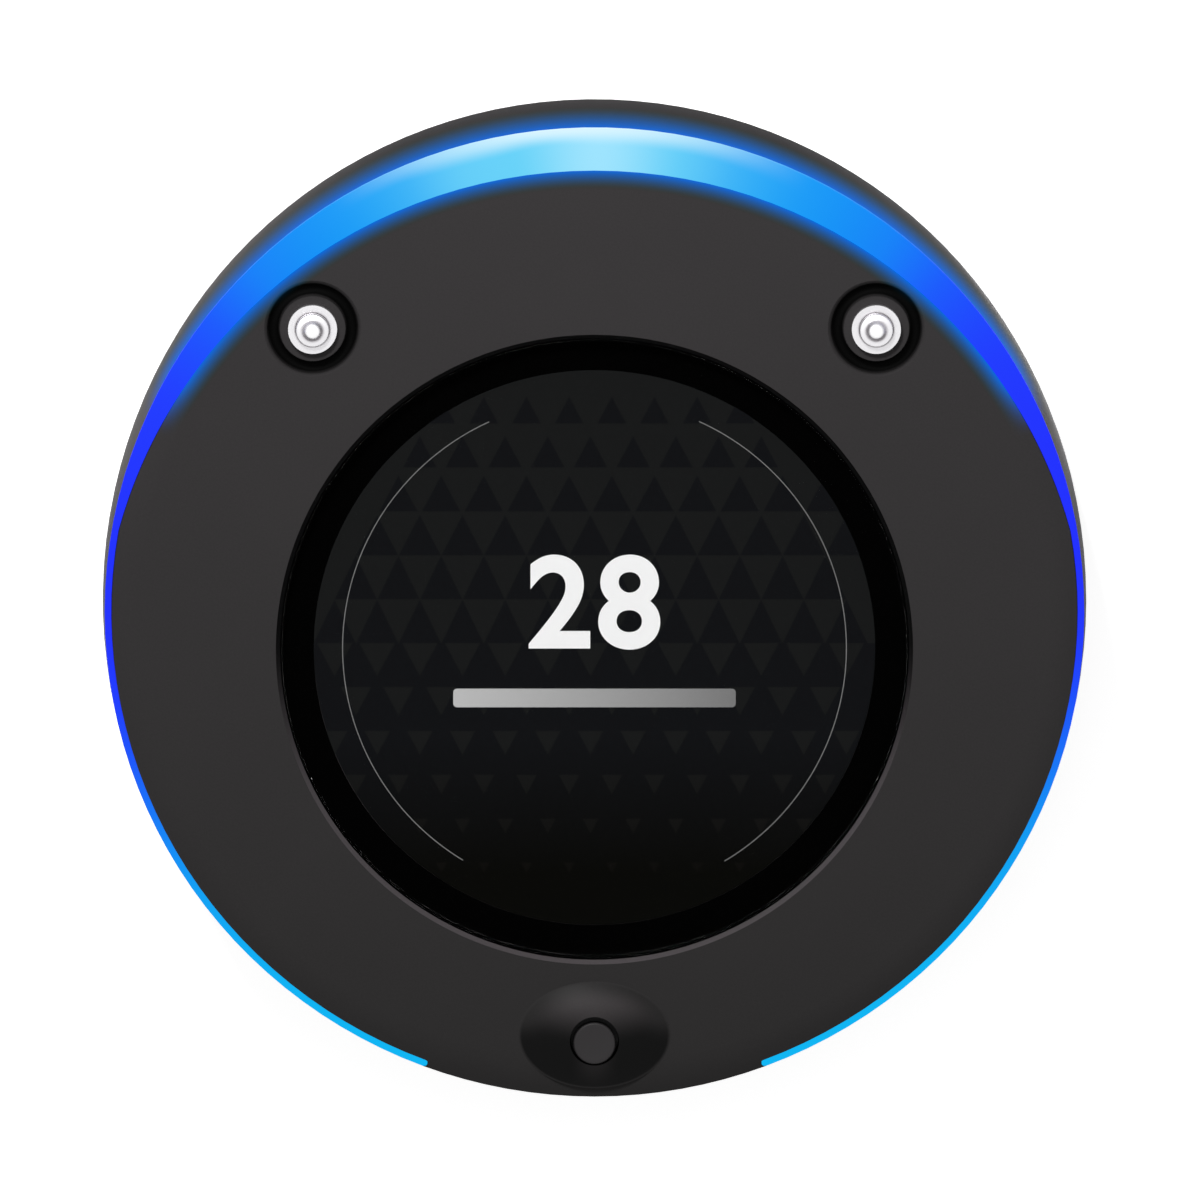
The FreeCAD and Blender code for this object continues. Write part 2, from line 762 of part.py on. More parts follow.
def along_x(radius, start, end, y, z):
    return Part.makeCylinder(radius, end - start, Vector(start, y, z), Vector(1, 0, 0))


def motor_end():
    return motor_start + motor_length


def motor_can():
    can = along_x(motor_radius, motor_start, motor_end(), motor_y, motor_level)
    hollow = along_x(motor_radius - motor_can_wall, motor_start, motor_end() - motor_shaft_seat,
                     motor_y, motor_level)
    bore = along_x(motor_shaft_radius + motor_shaft_clearance, motor_end() - motor_shaft_seat, motor_end(),
                   motor_y, motor_level)
    return can.cut(hollow).cut(bore)


def motor_end_cap():
    plate = along_x(motor_radius, motor_start - motor_cap_length, motor_start, motor_y, motor_level)
    spigot = along_x(motor_radius - motor_can_wall - guide_clearance, motor_start,
                     motor_start + motor_cap_length, motor_y, motor_level)
    return join([plate, spigot])


def motor_shaft():
    return along_x(motor_shaft_radius, motor_end() - motor_shaft_seat, motor_end() + motor_shaft_stand_out,
                   motor_y, motor_level)


def motor_weight():
    start = motor_end() + motor_weight_gap
    end = start + motor_weight_length
    half = along_x(motor_weight_radius, start, end, motor_y, motor_level)
    reach = 2 * motor_weight_radius
    half = half.cut(Part.makeBox(reach, 2 * reach, reach, Vector(start, motor_y - reach, motor_level)))
    hub = along_x(motor_hub_radius, start, end, motor_y, motor_level)
    return join([half, hub]).cut(along_x(motor_shaft_radius, start, end, motor_y, motor_level))


def motor_cradle():
    middle = motor_start + motor_length / 2
    side = 2 * (motor_radius + cradle_wall)
    cradle = block(cradle_length, side, floor_top, motor_level + motor_radius + cradle_wall, middle, motor_y)
    return cradle.cut(along_x(motor_radius, middle - cradle_length / 2, middle + cradle_length / 2,
                              motor_y, motor_level))


def motor_leads():
    back = motor_start - motor_cap_length
    bend_radius = 4 * motor_lead_radius
    leads = []
    for side in (-1, 1):
        start = (back, motor_y + side * motor_lead_spacing / 2, motor_level)
        leads.append(bent_wire(start, back - motor_lead_run, motor_level, board_underside,
                               bend_radius, motor_lead_radius))
    return Part.makeCompound(leads)


def buzzer():
    x, y = buzzer_place
    low = board_underside - buzzer_height
    body = disc(buzzer_radius, low, board_underside, x, y)
    body = body.makeFillet(buzzer_edge_radius, [edge for edge in body.Edges if edge.BoundBox.ZMax < low + tiny])
    return body.cut(disc(buzzer_port_radius, low, low + buzzer_port_radius, x, y))


def radio_board():
    return block(*radio_board_size, board_top, board_top + radio_board_thickness, *radio_place)


def radio_shield():
    low = board_top + radio_board_thickness
    can = block(*shield_size, low, low + shield_height, *radio_place)
    return can.makeFillet(shield_edge_radius, [edge for edge in can.Edges if edge.BoundBox.ZMax > low + tiny])


def microcontroller():
    return block(chip_size, chip_size, board_top, board_top + chip_height, *chip_place)


def quartz_crystal():
    x, y = crystal_place
    straight = crystal_length - crystal_width
    ends = [disc(crystal_width / 2, board_top, board_top + crystal_height, x + side * straight / 2, y)
            for side in (-1, 1)]
    return join([block(straight, crystal_width, board_top, board_top + crystal_height, x, y)] + ends)


def capacitors():
    cans = []
    for x, y in capacitor_places:
        skirt = block(2 * capacitor_radius, 2 * capacitor_radius, board_top, board_top + capacitor_skirt, x, y)
        cans.append(join([skirt, disc(capacitor_radius, board_top, board_top + capacitor_height, x, y)]))
    return Part.makeCompound(cans)


def antenna_coil():
    antenna = coil(antenna_turns, antenna_pitch, antenna_coil_radius, antenna_wire_radius)
    antenna.rotate(Vector(0, 0, 0), Vector(0, 1, 0), 90)
    x, y = antenna_place
    length = antenna_turns * antenna_pitch
    antenna.translate(Vector(x - length / 2, y, board_top + antenna_coil_radius + antenna_wire_radius))
    return antenna


def chip_parts():
    size_x, size_y, height = chip_part_size
    first_x, first_y = chip_parts_first
    parts = []
    for column in range(chip_parts_columns):
        for row in range(chip_parts_rows):
            parts.append(block(size_x, size_y, board_top, board_top + height,
                               first_x + column * chip_parts_pitch, first_y + row * chip_parts_pitch))
    return Part.makeCompound(parts)


nodes = {
    "base_shell": base_shell(),
    "top_cover": top_cover(),
    "light_guide": light_guide(),
    "window_lens": window_lens(),
    "label_insert": label_insert(),
    "lens_tape_ring": lens_tape_ring(),
    "rubber_feet": rubber_feet(),
    "housing_screws": housing_screws(),
    "button_cap": button_cap(),
    "switch_body": switch_body(),
    "switch_plunger": switch_plunger(),
    "switch_dome": switch_dome(),
    "switch_terminals": switch_terminals(),
    "main_board": main_board(),
    "light_board": light_board(),
    "edge_leds": edge_leds(),
    "board_header": board_header(),
    "battery_cell": battery_cell(),
    "battery_pads": battery_pads(),
    "battery_socket": battery_socket(),
    "battery_plug": battery_plug(),
    "battery_lead_red": battery_lead(1),
    "battery_lead_black": battery_lead(-1),
    "motor_can": motor_can(),
    "motor_end_cap": motor_end_cap(),
    "motor_shaft": motor_shaft(),
    "motor_weight": motor_weight(),
    "motor_cradle": motor_cradle(),
    "motor_leads": motor_leads(),
    "buzzer": buzzer(),
    "radio_board": radio_board(),
    "radio_shield": radio_shield(),
    "antenna_coil": antenna_coil(),
    "microcontroller": microcontroller(),
    "quartz_crystal": quartz_crystal(),
    "capacitors": capacitors(),
    "chip_parts": chip_parts(),
}
for side_name, side_x in (("left", -pin_x), ("right", pin_x)):
    nodes["charge_pin_barrel_" + side_name] = charge_pin_barrel(side_x)
    nodes["charge_pin_plunger_" + side_name] = charge_pin_plunger(side_x)
    nodes["charge_pin_spring_" + side_name] = charge_pin_spring(side_x)
    nodes["base_contact_" + side_name] = base_contact(side_x)
    nodes["contact_strap_" + side_name] = contact_strap(side_x)

os.makedirs("parts", exist_ok=True)
for name, shape in nodes.items():
    shape.exportStep("parts/" + name + ".step")
    print(name, "solids", len(shape.Solids), "volume", round(shape.Volume, 2), "valid", shape.isValid())
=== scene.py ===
import math
from math import cos, pi, radians, sin
import bpy
import bmesh
from mathutils import Matrix, Vector


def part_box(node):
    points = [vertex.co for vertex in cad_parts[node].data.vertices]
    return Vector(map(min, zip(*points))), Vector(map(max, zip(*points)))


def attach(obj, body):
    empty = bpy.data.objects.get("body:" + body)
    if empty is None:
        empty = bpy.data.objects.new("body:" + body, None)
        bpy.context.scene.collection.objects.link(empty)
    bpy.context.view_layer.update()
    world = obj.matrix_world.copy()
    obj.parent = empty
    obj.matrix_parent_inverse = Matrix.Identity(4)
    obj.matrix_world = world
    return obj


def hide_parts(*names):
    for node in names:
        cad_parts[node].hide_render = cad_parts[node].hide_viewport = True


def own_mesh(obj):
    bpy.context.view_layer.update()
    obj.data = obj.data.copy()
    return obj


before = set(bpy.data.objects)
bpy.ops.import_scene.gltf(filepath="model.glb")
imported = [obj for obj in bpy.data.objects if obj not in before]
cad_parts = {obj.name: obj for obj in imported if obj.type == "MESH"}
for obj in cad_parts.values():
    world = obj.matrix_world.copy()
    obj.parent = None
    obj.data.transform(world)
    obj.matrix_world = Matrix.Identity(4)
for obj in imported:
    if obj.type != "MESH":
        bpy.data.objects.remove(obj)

mm = 0.001
smallest = 1e-6     # in mm, for a point on an axis
black, white = (0, 0, 0, 1), (1, 1, 1, 1)
housing = "housing"
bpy.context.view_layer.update()   # the box that the finished model stays in
scene = bpy.context.scene
scene.view_settings.view_transform = "Standard"

# Main sizes of the pager in millimetres: +Y towards the crescent of light, -Y towards the button
pager = {
    "rimRadius": 52.0, "rimLevel": 24.6, "splitLevel": 23.7,
    "crescentRadius": 52.27, "crescentCentreY": -4.69,
    "nubHalfWidth": 8.1, "nubHalfDepth": 5.75, "nubCentreY": -45.2, "buttonY": -45.7,
    "pinX": 29.896, "pinY": 30.70,
    "windowY": -3.8, "labelFloor": 23.3, "lensUnderside": 23.45, "lensTop": 25.05,
}
pinSides = {"left": -pager["pinX"], "right": pager["pinX"]}


def colour(text):   # "rrggbb" as linear red, green, blue and alpha
    channels = [int(text[index:index + 2], 16) / 255 for index in (0, 2, 4)]
    return (*(part / 12.92 if part <= 0.04045 else ((part + 0.055) / 1.055) ** 2.4 for part in channels), 1.0)


# Small helpers for node trees. Of an input's values, another node's output is linked and a text is a colour.
def setInputs(node, values):
    for key, value in values.items():
        if isinstance(value, bpy.types.NodeSocket):
            node.id_data.links.new(value, node.inputs[key])
        else:
            node.inputs[key].default_value = colour(value) if isinstance(value, str) else value


def addNode(tree, kind, inputs=None, **settings):
    made = tree.nodes.new(kind)
    for key, value in settings.items():
        setattr(made, key, value)
    setInputs(made, inputs or {})
    return made


def outputOf(tree, kind, inputs=None, **settings):
    return addNode(tree, kind, inputs, **settings).outputs[0]


def maths(operation, *values):  # works in the tree of the first output among its values
    tree = next(value for value in values if isinstance(value, bpy.types.NodeSocket)).id_data
    return outputOf(tree, "ShaderNodeMath", dict(enumerate(values)), operation=operation)


def plus(first, second):
    return maths("ADD", first, second)


def minus(first, second):
    return maths("SUBTRACT", first, second)


def times(first, second):
    return maths("MULTIPLY", first, second)


def over(first, second):
    return maths("DIVIDE", first, second)


def reachOf(first, second):     # the long side of a right-angled corner
    return maths("SQRT", plus(times(first, first), times(second, second)))


def vector(tree, x=0.0, y=0.0, z=0.0):
    return outputOf(tree, "ShaderNodeCombineXYZ", {0: x, 1: y, 2: z})


def scaled(tree, what, scale):
    return outputOf(tree, "ShaderNodeVectorMath", {0: what, "Scale": scale}, operation="SCALE")


def spread(value, low, high, toLow=0.0, toHigh=1.0, shape="SMOOTHSTEP"):
    inputs = {"Value": value, "From Min": low, "From Max": high, "To Min": toLow, "To Max": toHigh}
    return outputOf(value.id_data, "ShaderNodeMapRange", inputs, interpolation_type=shape)


def inside(distance, radius, soft=0.02):    # 1 within a radius, with a narrow soft edge
    return spread(distance, radius - soft, radius + soft, 1.0, 0.0)


def band(value, rise, fall):    # 1 between two soft edges, each given by its two ends
    return times(spread(value, *rise), spread(value, *fall, 1.0, 0.0))


def mixColour(amount, first, second):
    factor, firstColour, secondColour, result = 0, 6, 7, 2      # a Mix node's sockets for colours
    made = addNode(amount.id_data, "ShaderNodeMix", data_type="RGBA")
    setInputs(made, {factor: amount, firstColour: first, secondColour: second})
    return made.outputs[result]


def objectPlace(tree):
    return addNode(tree, "ShaderNodeTexCoord").outputs["Object"]


def axesOf(tree, place):
    return addNode(tree, "ShaderNodeSeparateXYZ", {0: place}).outputs


def placeInMillimetres(tree):
    return axesOf(tree, scaled(tree, objectPlace(tree), 1000.0))


def distanceFrom(axes, x, y, mirrored=False):
    across = maths("ABSOLUTE", axes[0]) if mirrored else axes[0]
    return reachOf(minus(across, x), minus(axes[1], y))


def noise(tree, place, scale, detail):
    return outputOf(tree, "ShaderNodeTexNoise", {"Vector": place, "Scale": scale, "Detail": detail})


def ray(tree, kind):
    return addNode(tree, "ShaderNodeLightPath").outputs[kind]


def tinted(tree, tone, pattern, amount):    # a colour made lighter and darker by a pattern
    return scaled(tree, tone, plus(times(times(minus(pattern, 0.5), amount), 2.0), 1.0))


def startGroup(name, inputs, outputs):  # Colour and Glow are colours, the rest are plain numbers
    tree = bpy.data.node_groups.new(name, "ShaderNodeTree")
    for side, labels in (("INPUT", inputs), ("OUTPUT", outputs)):
        for label in labels.split(", "):
            kind = "NodeSocketColor" if label in ("Colour", "Glow") else "NodeSocketFloat"
            tree.interface.new_socket(name=label, in_out=side, socket_type=kind)
    return tree, tree.nodes.new("NodeGroupInput").outputs, tree.nodes.new("NodeGroupOutput")


# Shader groups that several finishes share. Sizes in the finishes are in mm, scales here are turns a metre.
noiseRange = (0.3, 0.7)     # most values of a noise lie between these
groupLook = {"fineShare": 0.7, "broadScale": 70.0, "lineStretch": (1.0, 1.0, 9.0), "tarnishScale": 400.0}


def makeMouldGroup():   # the fine spark texture of a moulded face, with a slight unevenness of tone
    tree, given, out = startGroup("mouldedGrain", "Colour, Grain Size, Mottle, Roughness, Unevenness",
                                  "Colour, Roughness, Height")
    place = objectPlace(tree)
    fine = noise(tree, place, over(1000.0, given["Grain Size"]), 3.0)
    broad = noise(tree, place, groupLook["broadScale"], 2.0)
    both = plus(times(fine, groupLook["fineShare"]), times(broad, 1.0 - groupLook["fineShare"]))
    setInputs(out, {"Colour": tinted(tree, given["Colour"], both, given["Mottle"]),
                    "Roughness": plus(given["Roughness"], times(minus(broad, 0.5), given["Unevenness"])),
                    "Height": fine})
    return tree


def makeBrushGroup():   # turned metal with fine lines round +Z
    tree, given, out = startGroup("turnedMetal", "Colour, Line Size, Contrast, Roughness",
                                  "Colour, Roughness, Height")
    place = objectPlace(tree)
    squeezed = outputOf(tree, "ShaderNodeMapping", {"Vector": place, "Scale": groupLook["lineStretch"]})
    lines = noise(tree, squeezed, over(1000.0, given["Line Size"]), 2.0)
    tarnish = noise(tree, place, groupLook["tarnishScale"], 3.0)
    setInputs(out, {"Colour": tinted(tree, given["Colour"], lines, given["Contrast"]),
                    "Roughness": plus(given["Roughness"], times(minus(tarnish, 0.5), given["Contrast"])),
                    "Height": lines})
    return tree


halo = {"green": 0.13, "greenFall": 1.5, "blue": 0.66, "blueFall": 2.25, "fullAngle": 59.0, "endAngle": 67.5,
        "darkening": 0.9}


def makeHaloGroup():    # painted glow: blue light from the crescent, painted as emission onto what lies beside it
    tree, given, out = startGroup("lightSpill", "Distance, Reach, Strength", "Glow, Amount")
    axes = axesOf(tree, objectPlace(tree))
    turn = maths("ARCTAN2", maths("ABSOLUTE", axes[0]), axes[1])
    around = spread(turn, radians(halo["fullAngle"]), radians(halo["endAngle"]), 1.0, 0.0)
    near = outputOf(tree, "ShaderNodeClamp", {"Value": minus(1.0, over(given["Distance"], given["Reach"]))})
    green, blue = [times(maths("POWER", near, halo[hue + "Fall"]), halo[hue]) for hue in ("green", "blue")]
    glow = scaled(tree, vector(tree, 0.0, green, blue), times(around, given["Strength"]))
    setInputs(out, {"Glow": glow, "Amount": times(times(near, around), halo["darkening"])})
    return tree


mouldedGrain, turnedMetal, lightSpill = makeMouldGroup(), makeBrushGroup(), makeHaloGroup()


def newFinish(name):
    made = bpy.data.materials.new(name)
    made.use_nodes = True
    made.node_tree.nodes.clear()
    shader = addNode(made.node_tree, "ShaderNodeBsdfPrincipled")
    addNode(made.node_tree, "ShaderNodeOutputMaterial", {"Surface": shader.outputs[0]})
    return made, made.node_tree, shader


def dress(shader, out, specular=0.5, bump=0.0, height=None):    # bump in mm, by the group's height or another
    setInputs(shader, {"Base Color": out["Colour"], "Roughness": out["Roughness"],
                       "Specular IOR Level": specular})
    if bump:
        setInputs(shader, {"Normal": outputOf(shader.id_data, "ShaderNodeBump", {
            "Height": height or out["Height"], "Distance": bump * mm, "Strength": 1.0})})


def useGroup(tree, group, *values):     # values in the order of the group's inputs
    return addNode(tree, "ShaderNodeGroup", dict(enumerate(values)), node_tree=group).outputs


def grain(tree, tone, size, mottle, roughness, unevenness=0.06):
    return useGroup(tree, mouldedGrain, tone, size, mottle, roughness, unevenness)


# Housing plastics. A grain is its size in mm, the mottle and the roughness. A reach or edge is in mm.
baseLook = {"tone": "353334", "flankTone": "605e5f", "flank": (18.0, 54.0), "grain": (0.2, 0.12, 0.9),
            "specular": 0.02, "bump": 0.006, "sheen": 0.32, "sheenRoughness": 0.1, "glowReach": 14.0,
            "glow": 1.0}
coverLook = {"tone": "3a3839", "lowerTone": "2c2b2b", "grain": (0.22, 0.16, 0.66), "specular": 0.04,
             "bump": 0.006, "coatRoughness": 0.4, "glowReach": 1.95, "glow": 1.0, "nubTone": "3a3738",
             "nubShade": "090909", "nubEdge": "232222", "nubRoughness": 0.55, "nubCoat": 0.06,
             "grooveTone": "020202", "grooveInner": (3.35, 3.7), "grooveOuter": (4.6, 5.1),
             "grooveShade": 0.85, "recessDark": "040404", "recessLit": "4a4648", "recessEdge": 33.82,
             "litBelow": 18.0, "darkAbove": 2.0, "holeEdge": 2.64}
# The nub's light and shade, in shares of its half width and half depth
nubShading = {"border": (0.95, 1.0), "sag": 0.25, "lit": (-0.2, 0.65), "streakWidth": 0.34, "streak": 0.3,
              "streakRise": (-1.1, -0.4), "fade": (0.6, 0.98), "fadeRise": (-0.15, 0.4)}


def makeBaseFinish():
    made, tree, shader = newFinish("baseShellPlastic")
    look = baseLook
    axes = placeInMillimetres(tree)
    # painted glow of the crescent down the wall, over a tone made darker
    glow = useGroup(tree, lightSpill, minus(pager["splitLevel"], axes[2]), look["glowReach"], look["glow"])
    # painted sheen: the wall is painted lighter towards both sides, where it would mirror the floor at a
    # grazing angle
    flank = spread(maths("ABSOLUTE", axes[0]), *look["flank"])
    tone = mixColour(flank, look["tone"], look["flankTone"])
    tone = mixColour(glow["Amount"], tone, black)
    dress(shader, grain(tree, tone, *look["grain"]), look["specular"], look["bump"])
    setInputs(shader, {"Emission Color": glow["Glow"], "Emission Strength": 1.0,
                       "Sheen Weight": look["sheen"], "Sheen Roughness": look["sheenRoughness"]})
    return made


def makeCoverFinish():
    made, tree, shader = newFinish("coverPlastic")
    look, shade = coverLook, nubShading
    axes = placeInMillimetres(tree)
    nubX = over(axes[0], pager["nubHalfWidth"])
    nubY = over(minus(axes[1], pager["nubCentreY"]), pager["nubHalfDepth"])
    fromNub, across = reachOf(nubX, nubY), maths("ABSOLUTE", nubX)
    onNub = spread(fromNub, *shade["border"], 1.0, 0.0)
    # painted light and shade on the nub: its upper slope and a streak below the hole are painted lit, the
    # rest painted shade, with painted shade along its upper edge
    lit = spread(minus(nubY, times(across, shade["sag"])), *shade["lit"])
    streak = times(spread(across, 0.0, shade["streakWidth"], shade["streak"], 0.0),
                   spread(nubY, *shade["streakRise"]))
    nub = mixColour(maths("MAXIMUM", lit, streak), look["nubShade"], look["nubTone"])
    fade = times(spread(fromNub, *shade["fade"]), spread(nubY, *shade["fadeRise"]))
    nub = mixColour(fade, nub, look["nubEdge"])
    # painted shade: the face is painted darker towards the button
    up = spread(axes[1], -pager["rimRadius"], pager["rimRadius"], 0.0, 1.0, "LINEAR")
    tone = mixColour(onNub, mixColour(up, look["lowerTone"], look["tone"]), nub)
    # the recess's edge is painted lit on its near side and painted dark on its far side, as painted light and
    # shade
    farSide = spread(axes[1], pager["windowY"] - look["litBelow"], pager["windowY"] + look["darkAbove"])
    edge = mixColour(farSide, look["recessLit"], look["recessDark"])
    tone = mixColour(inside(distanceFrom(axes, 0.0, pager["windowY"]), look["recessEdge"]), tone, edge)
    # painted shade: the inside of the button's hole is painted near black
    inHole = inside(distanceFrom(axes, 0.0, pager["buttonY"]), look["holeEdge"])
    tone = mixColour(inHole, tone, look["grooveTone"])
    # painted shade: the groove round each pin is painted near black
    fromPin = distanceFrom(axes, pager["pinX"], pager["pinY"], mirrored=True)
    inGroove = band(fromPin, look["grooveInner"], look["grooveOuter"])
    tone = mixColour(inGroove, tone, look["grooveTone"])
    # painted glow of the crescent on the face
    fromLight = minus(pager["crescentRadius"], distanceFrom(axes, 0.0, pager["crescentCentreY"]))
    glow = useGroup(tree, lightSpill, fromLight, look["glowReach"], look["glow"])
    tone = mixColour(glow["Amount"], tone, black)
    size, mottle, rough = look["grain"]
    out = grain(tree, tone, size, mottle, plus(rough, times(onNub, look["nubRoughness"] - rough)))
    calm = times(out["Height"], minus(1.0, onNub))      # the nub is polished
    dress(shader, out, look["specular"], look["bump"], calm)
    # the painted glow is taken out of the grooves
    shaded = mixColour(times(inGroove, look["grooveShade"]), glow["Glow"], black)
    setInputs(shader, {"Emission Color": shaded, "Emission Strength": 1.0,
                       "Coat Roughness": look["coatRoughness"], "Coat Weight": times(onNub, look["nubCoat"])})
    return made


# Light guide: a painted highlight makes it near-white at the crown; it goes through cyan to deep blue at the
# sides and back to cyan
glowColours = [(0, "68d4f5"), (13, "6cd2f6"), (20, "38b3f4"), (29, "109af4"), (41, "1283f5"),
               (49, "1a4ffb"), (60, "212bfc"), (78, "2222fd"), (97, "2224fc"), (109, "1a5ef6"),
               (122, "0ca4f1"), (140, "0cb6f2")]    # by the angle from the crescent's middle
lightLook = {"strength": 0.97, "leanAngle": 3.0, "crownColour": "dcf6fd", "crownWidth": 1.95,
             "crownEndAngle": 30.0, "cloudSize": 14.0, "cloudWidths": (0.8, 1.1), "patchColour": "a4e6fc",
             "patchAngle": 3.5, "patchEndAngle": 11.0, "patchStrength": 0.9, "specular": 0.02,
             "frost": ("06223e", 0.15, 0.08, 0.55)}


def makeLightFinish():
    made, tree, shader = newFinish("frostedLight")
    look = lightLook
    axes = placeInMillimetres(tree)
    lean = radians(look["leanAngle"])  # the light's middle leans a little to the left
    sideways = plus(times(axes[0], cos(lean)), times(axes[1], sin(lean)))
    ahead = minus(times(axes[1], cos(lean)), times(axes[0], sin(lean)))
    signed = maths("ARCTAN2", sideways, ahead)
    turn = maths("ABSOLUTE", signed)
    ramp = addNode(tree, "ShaderNodeValToRGB", {0: over(turn, pi)})
    ramp.color_ramp.interpolation = "B_SPLINE"
    stops = ramp.color_ramp.elements
    for index, (angle, tone) in enumerate(glowColours):
        stop = stops[index] if index < 2 else stops.new(angle / 180)
        stop.position = angle / 180
        stop.color = colour(tone)
    aside = maths("ABSOLUTE", minus(signed, radians(look["patchAngle"])))
    patch = spread(aside, 0.0, radians(look["patchEndAngle"]), look["patchStrength"], 0.0)
    tone = mixColour(patch, ramp.outputs["Color"], look["patchColour"])
    # a painted highlight along the rim: a pale crown of uneven width
    cloud = noise(tree, objectPlace(tree), 1000.0 / look["cloudSize"], 1.0)
    width = times(spread(cloud, *noiseRange, *look["cloudWidths"]), look["crownWidth"])
    fromRim = minus(pager["rimRadius"], distanceFrom(axes, 0.0, 0.0))
    crown = times(spread(over(fromRim, width), 0.0, 1.0, 1.0, 0.0),
                  spread(turn, 0.0, radians(look["crownEndAngle"]), 1.0, 0.0))
    tone = mixColour(crown, tone, look["crownColour"])
    dress(shader, grain(tree, *look["frost"]), look["specular"])
    setInputs(shader, {"Emission Color": tone, "Emission Strength": look["strength"]})
    return made


# Window: clear acrylic that lets the lamps' light through to the label
windowLook = {"ior": 1.49, "roughness": 0.015, "hazeScale": 90.0}


def makeWindowFinish():
    made, tree, shader = newFinish("clearAcrylic")
    haze = noise(tree, objectPlace(tree), windowLook["hazeScale"], 2.0)
    setInputs(shader, {"Roughness": spread(haze, *noiseRange, 0.0, windowLook["roughness"]),
                       "Base Color": white, "Transmission Weight": 1.0, "IOR": windowLook["ior"]})
    clear = outputOf(tree, "ShaderNodeBsdfTransparent")
    through = maths("MAXIMUM", ray(tree, "Is Shadow Ray"), ray(tree, "Is Diffuse Ray"))
    mixed = outputOf(tree, "ShaderNodeMixShader", {0: through, 1: shader.outputs[0], 2: clear})
    setInputs(tree.nodes["Material Output"], {"Surface": mixed})
    return made


# Label film: charcoal that fades to black towards the button
labelLook = {"light": "1b1c1c", "dark": "141517", "lowest": "0b0b09", "fadeFrom": -13.5, "fadeTo": -28.0,
             "turnLevel": -3.3, "turnEdge": 0.01, "grain": (0.3, 0.05, 0.5)}
inkGrain = (0.12, 0.06, 0.6)


def makeLabelFinish():
    made, tree, shader = newFinish("labelFilm")
    look = labelLook
    y, turn, edge = placeInMillimetres(tree)[1], look["turnLevel"], look["turnEdge"]
    lower = spread(y, turn - edge, turn + edge, 1.0, 0.0, "LINEAR")
    fade = spread(y, look["fadeTo"], look["fadeFrom"], shape="LINEAR")
    dark = mixColour(fade, look["lowest"], look["dark"])
    dress(shader, grain(tree, mixColour(lower, look["light"], dark), *look["grain"]), 0.0)
    return made


def makeInk(name, tone, endTone=None, axis=1, fadeFrom=0.0, fadeTo=0.0):  # fades along X (0) or Y (1)
    made, tree, shader = newFinish(name)
    shown = tone
    if endTone:
        place = placeInMillimetres(tree)[axis]
        shown = mixColour(spread(place, fadeTo, fadeFrom, shape="LINEAR"), endTone, shown)
    dress(shader, grain(tree, shown, *inkGrain), 0.0)
    return made


# Moulded, rubber, lacquered and wrapped parts: tone, grain in mm, mottle, roughness, bump in mm, specular
mouldedParts = {
    "black_tape": ("020202", 0.4, 0.2, 0.8, 0.01, 0.0),
    "foot_rubber": ("26282b", 0.35, 0.25, 0.8, 0.02, 0.35),
    "button_plastic": ("2d2b2c", 0.15, 0.1, 0.5, 0.003, 0.3),
    "switch_plastic": ("1a1a1a", 0.2, 0.12, 0.6, 0.006, 0.4),
    "lamp_white": ("eeeee4", 0.3, 0.05, 0.4, 0.003, 0.5),
    "battery_wrap": ("a2a5a8", 1.6, 0.12, 0.3, 0.05, 0.6),
    "foam": ("f2f2ee", 0.25, 0.15, 0.9, 0.05, 0.2),
    "connector_plastic": ("e6e2d6", 0.4, 0.06, 0.45, 0.004, 0.5),
    "red_insulation": ("c01814", 0.5, 0.08, 0.4, 0.003, 0.5),
    "black_insulation": ("1a1a1a", 0.5, 0.08, 0.4, 0.003, 0.5),
    "chip_resin": ("1e1e20", 0.12, 0.15, 0.65, 0.006, 0.4),
}

# Metals: colour, line size in mm, contrast, roughness
metalParts = {
    "screw_steel": ((0.52, 0.52, 0.53), 0.2, 0.12, 0.34),
    "spring_steel": ((0.6, 0.6, 0.6), 0.1, 0.15, 0.25),
    "tinned_metal": ((0.7, 0.7, 0.7), 0.3, 0.12, 0.4),
    "motor_steel": ((0.55, 0.55, 0.56), 0.25, 0.12, 0.35),
    "copper_wire": ((0.72, 0.4, 0.2), 0.1, 0.2, 0.3),
    "contact_brass": ((0.78, 0.62, 0.32), 0.2, 0.12, 0.3),
}


metalBump = 0.002   # in mm
# The pins' ring and rim are (start, full), (full, end) of a band painted darker as a painted dark reflection,
# by distance from the pin's middle
pinShine = {"bright": (0.86, 0.85, 0.87, 1.0), "dull": (0.5, 0.48, 0.5, 1.0), "nib": white,
            "lines": (0.1, 0.06, 0.4), "ring": ((0.66, 0.94), (1.0, 1.4)), "rim": ((1.68, 1.78), (1.9, 2.0)),
            "dullLevel": (26.25, 26.32), "nibEdge": (0.5, 0.75), "nibLevel": (27.3, 27.5)}


def makeMoulded(slot, tone, size, mottle, roughness, bump, specular):
    made, tree, shader = newFinish(slot + "Finish")
    dress(shader, grain(tree, tone, size, mottle, roughness), specular, bump)
    return made


def makeMetal(slot, tone, size, contrast, roughness):
    made, tree, shader = newFinish(slot + "Finish")
    dress(shader, useGroup(tree, turnedMetal, tone + (1.0,), size, contrast, roughness), bump=metalBump)
    setInputs(shader, {"Metallic": 1.0})
    return made


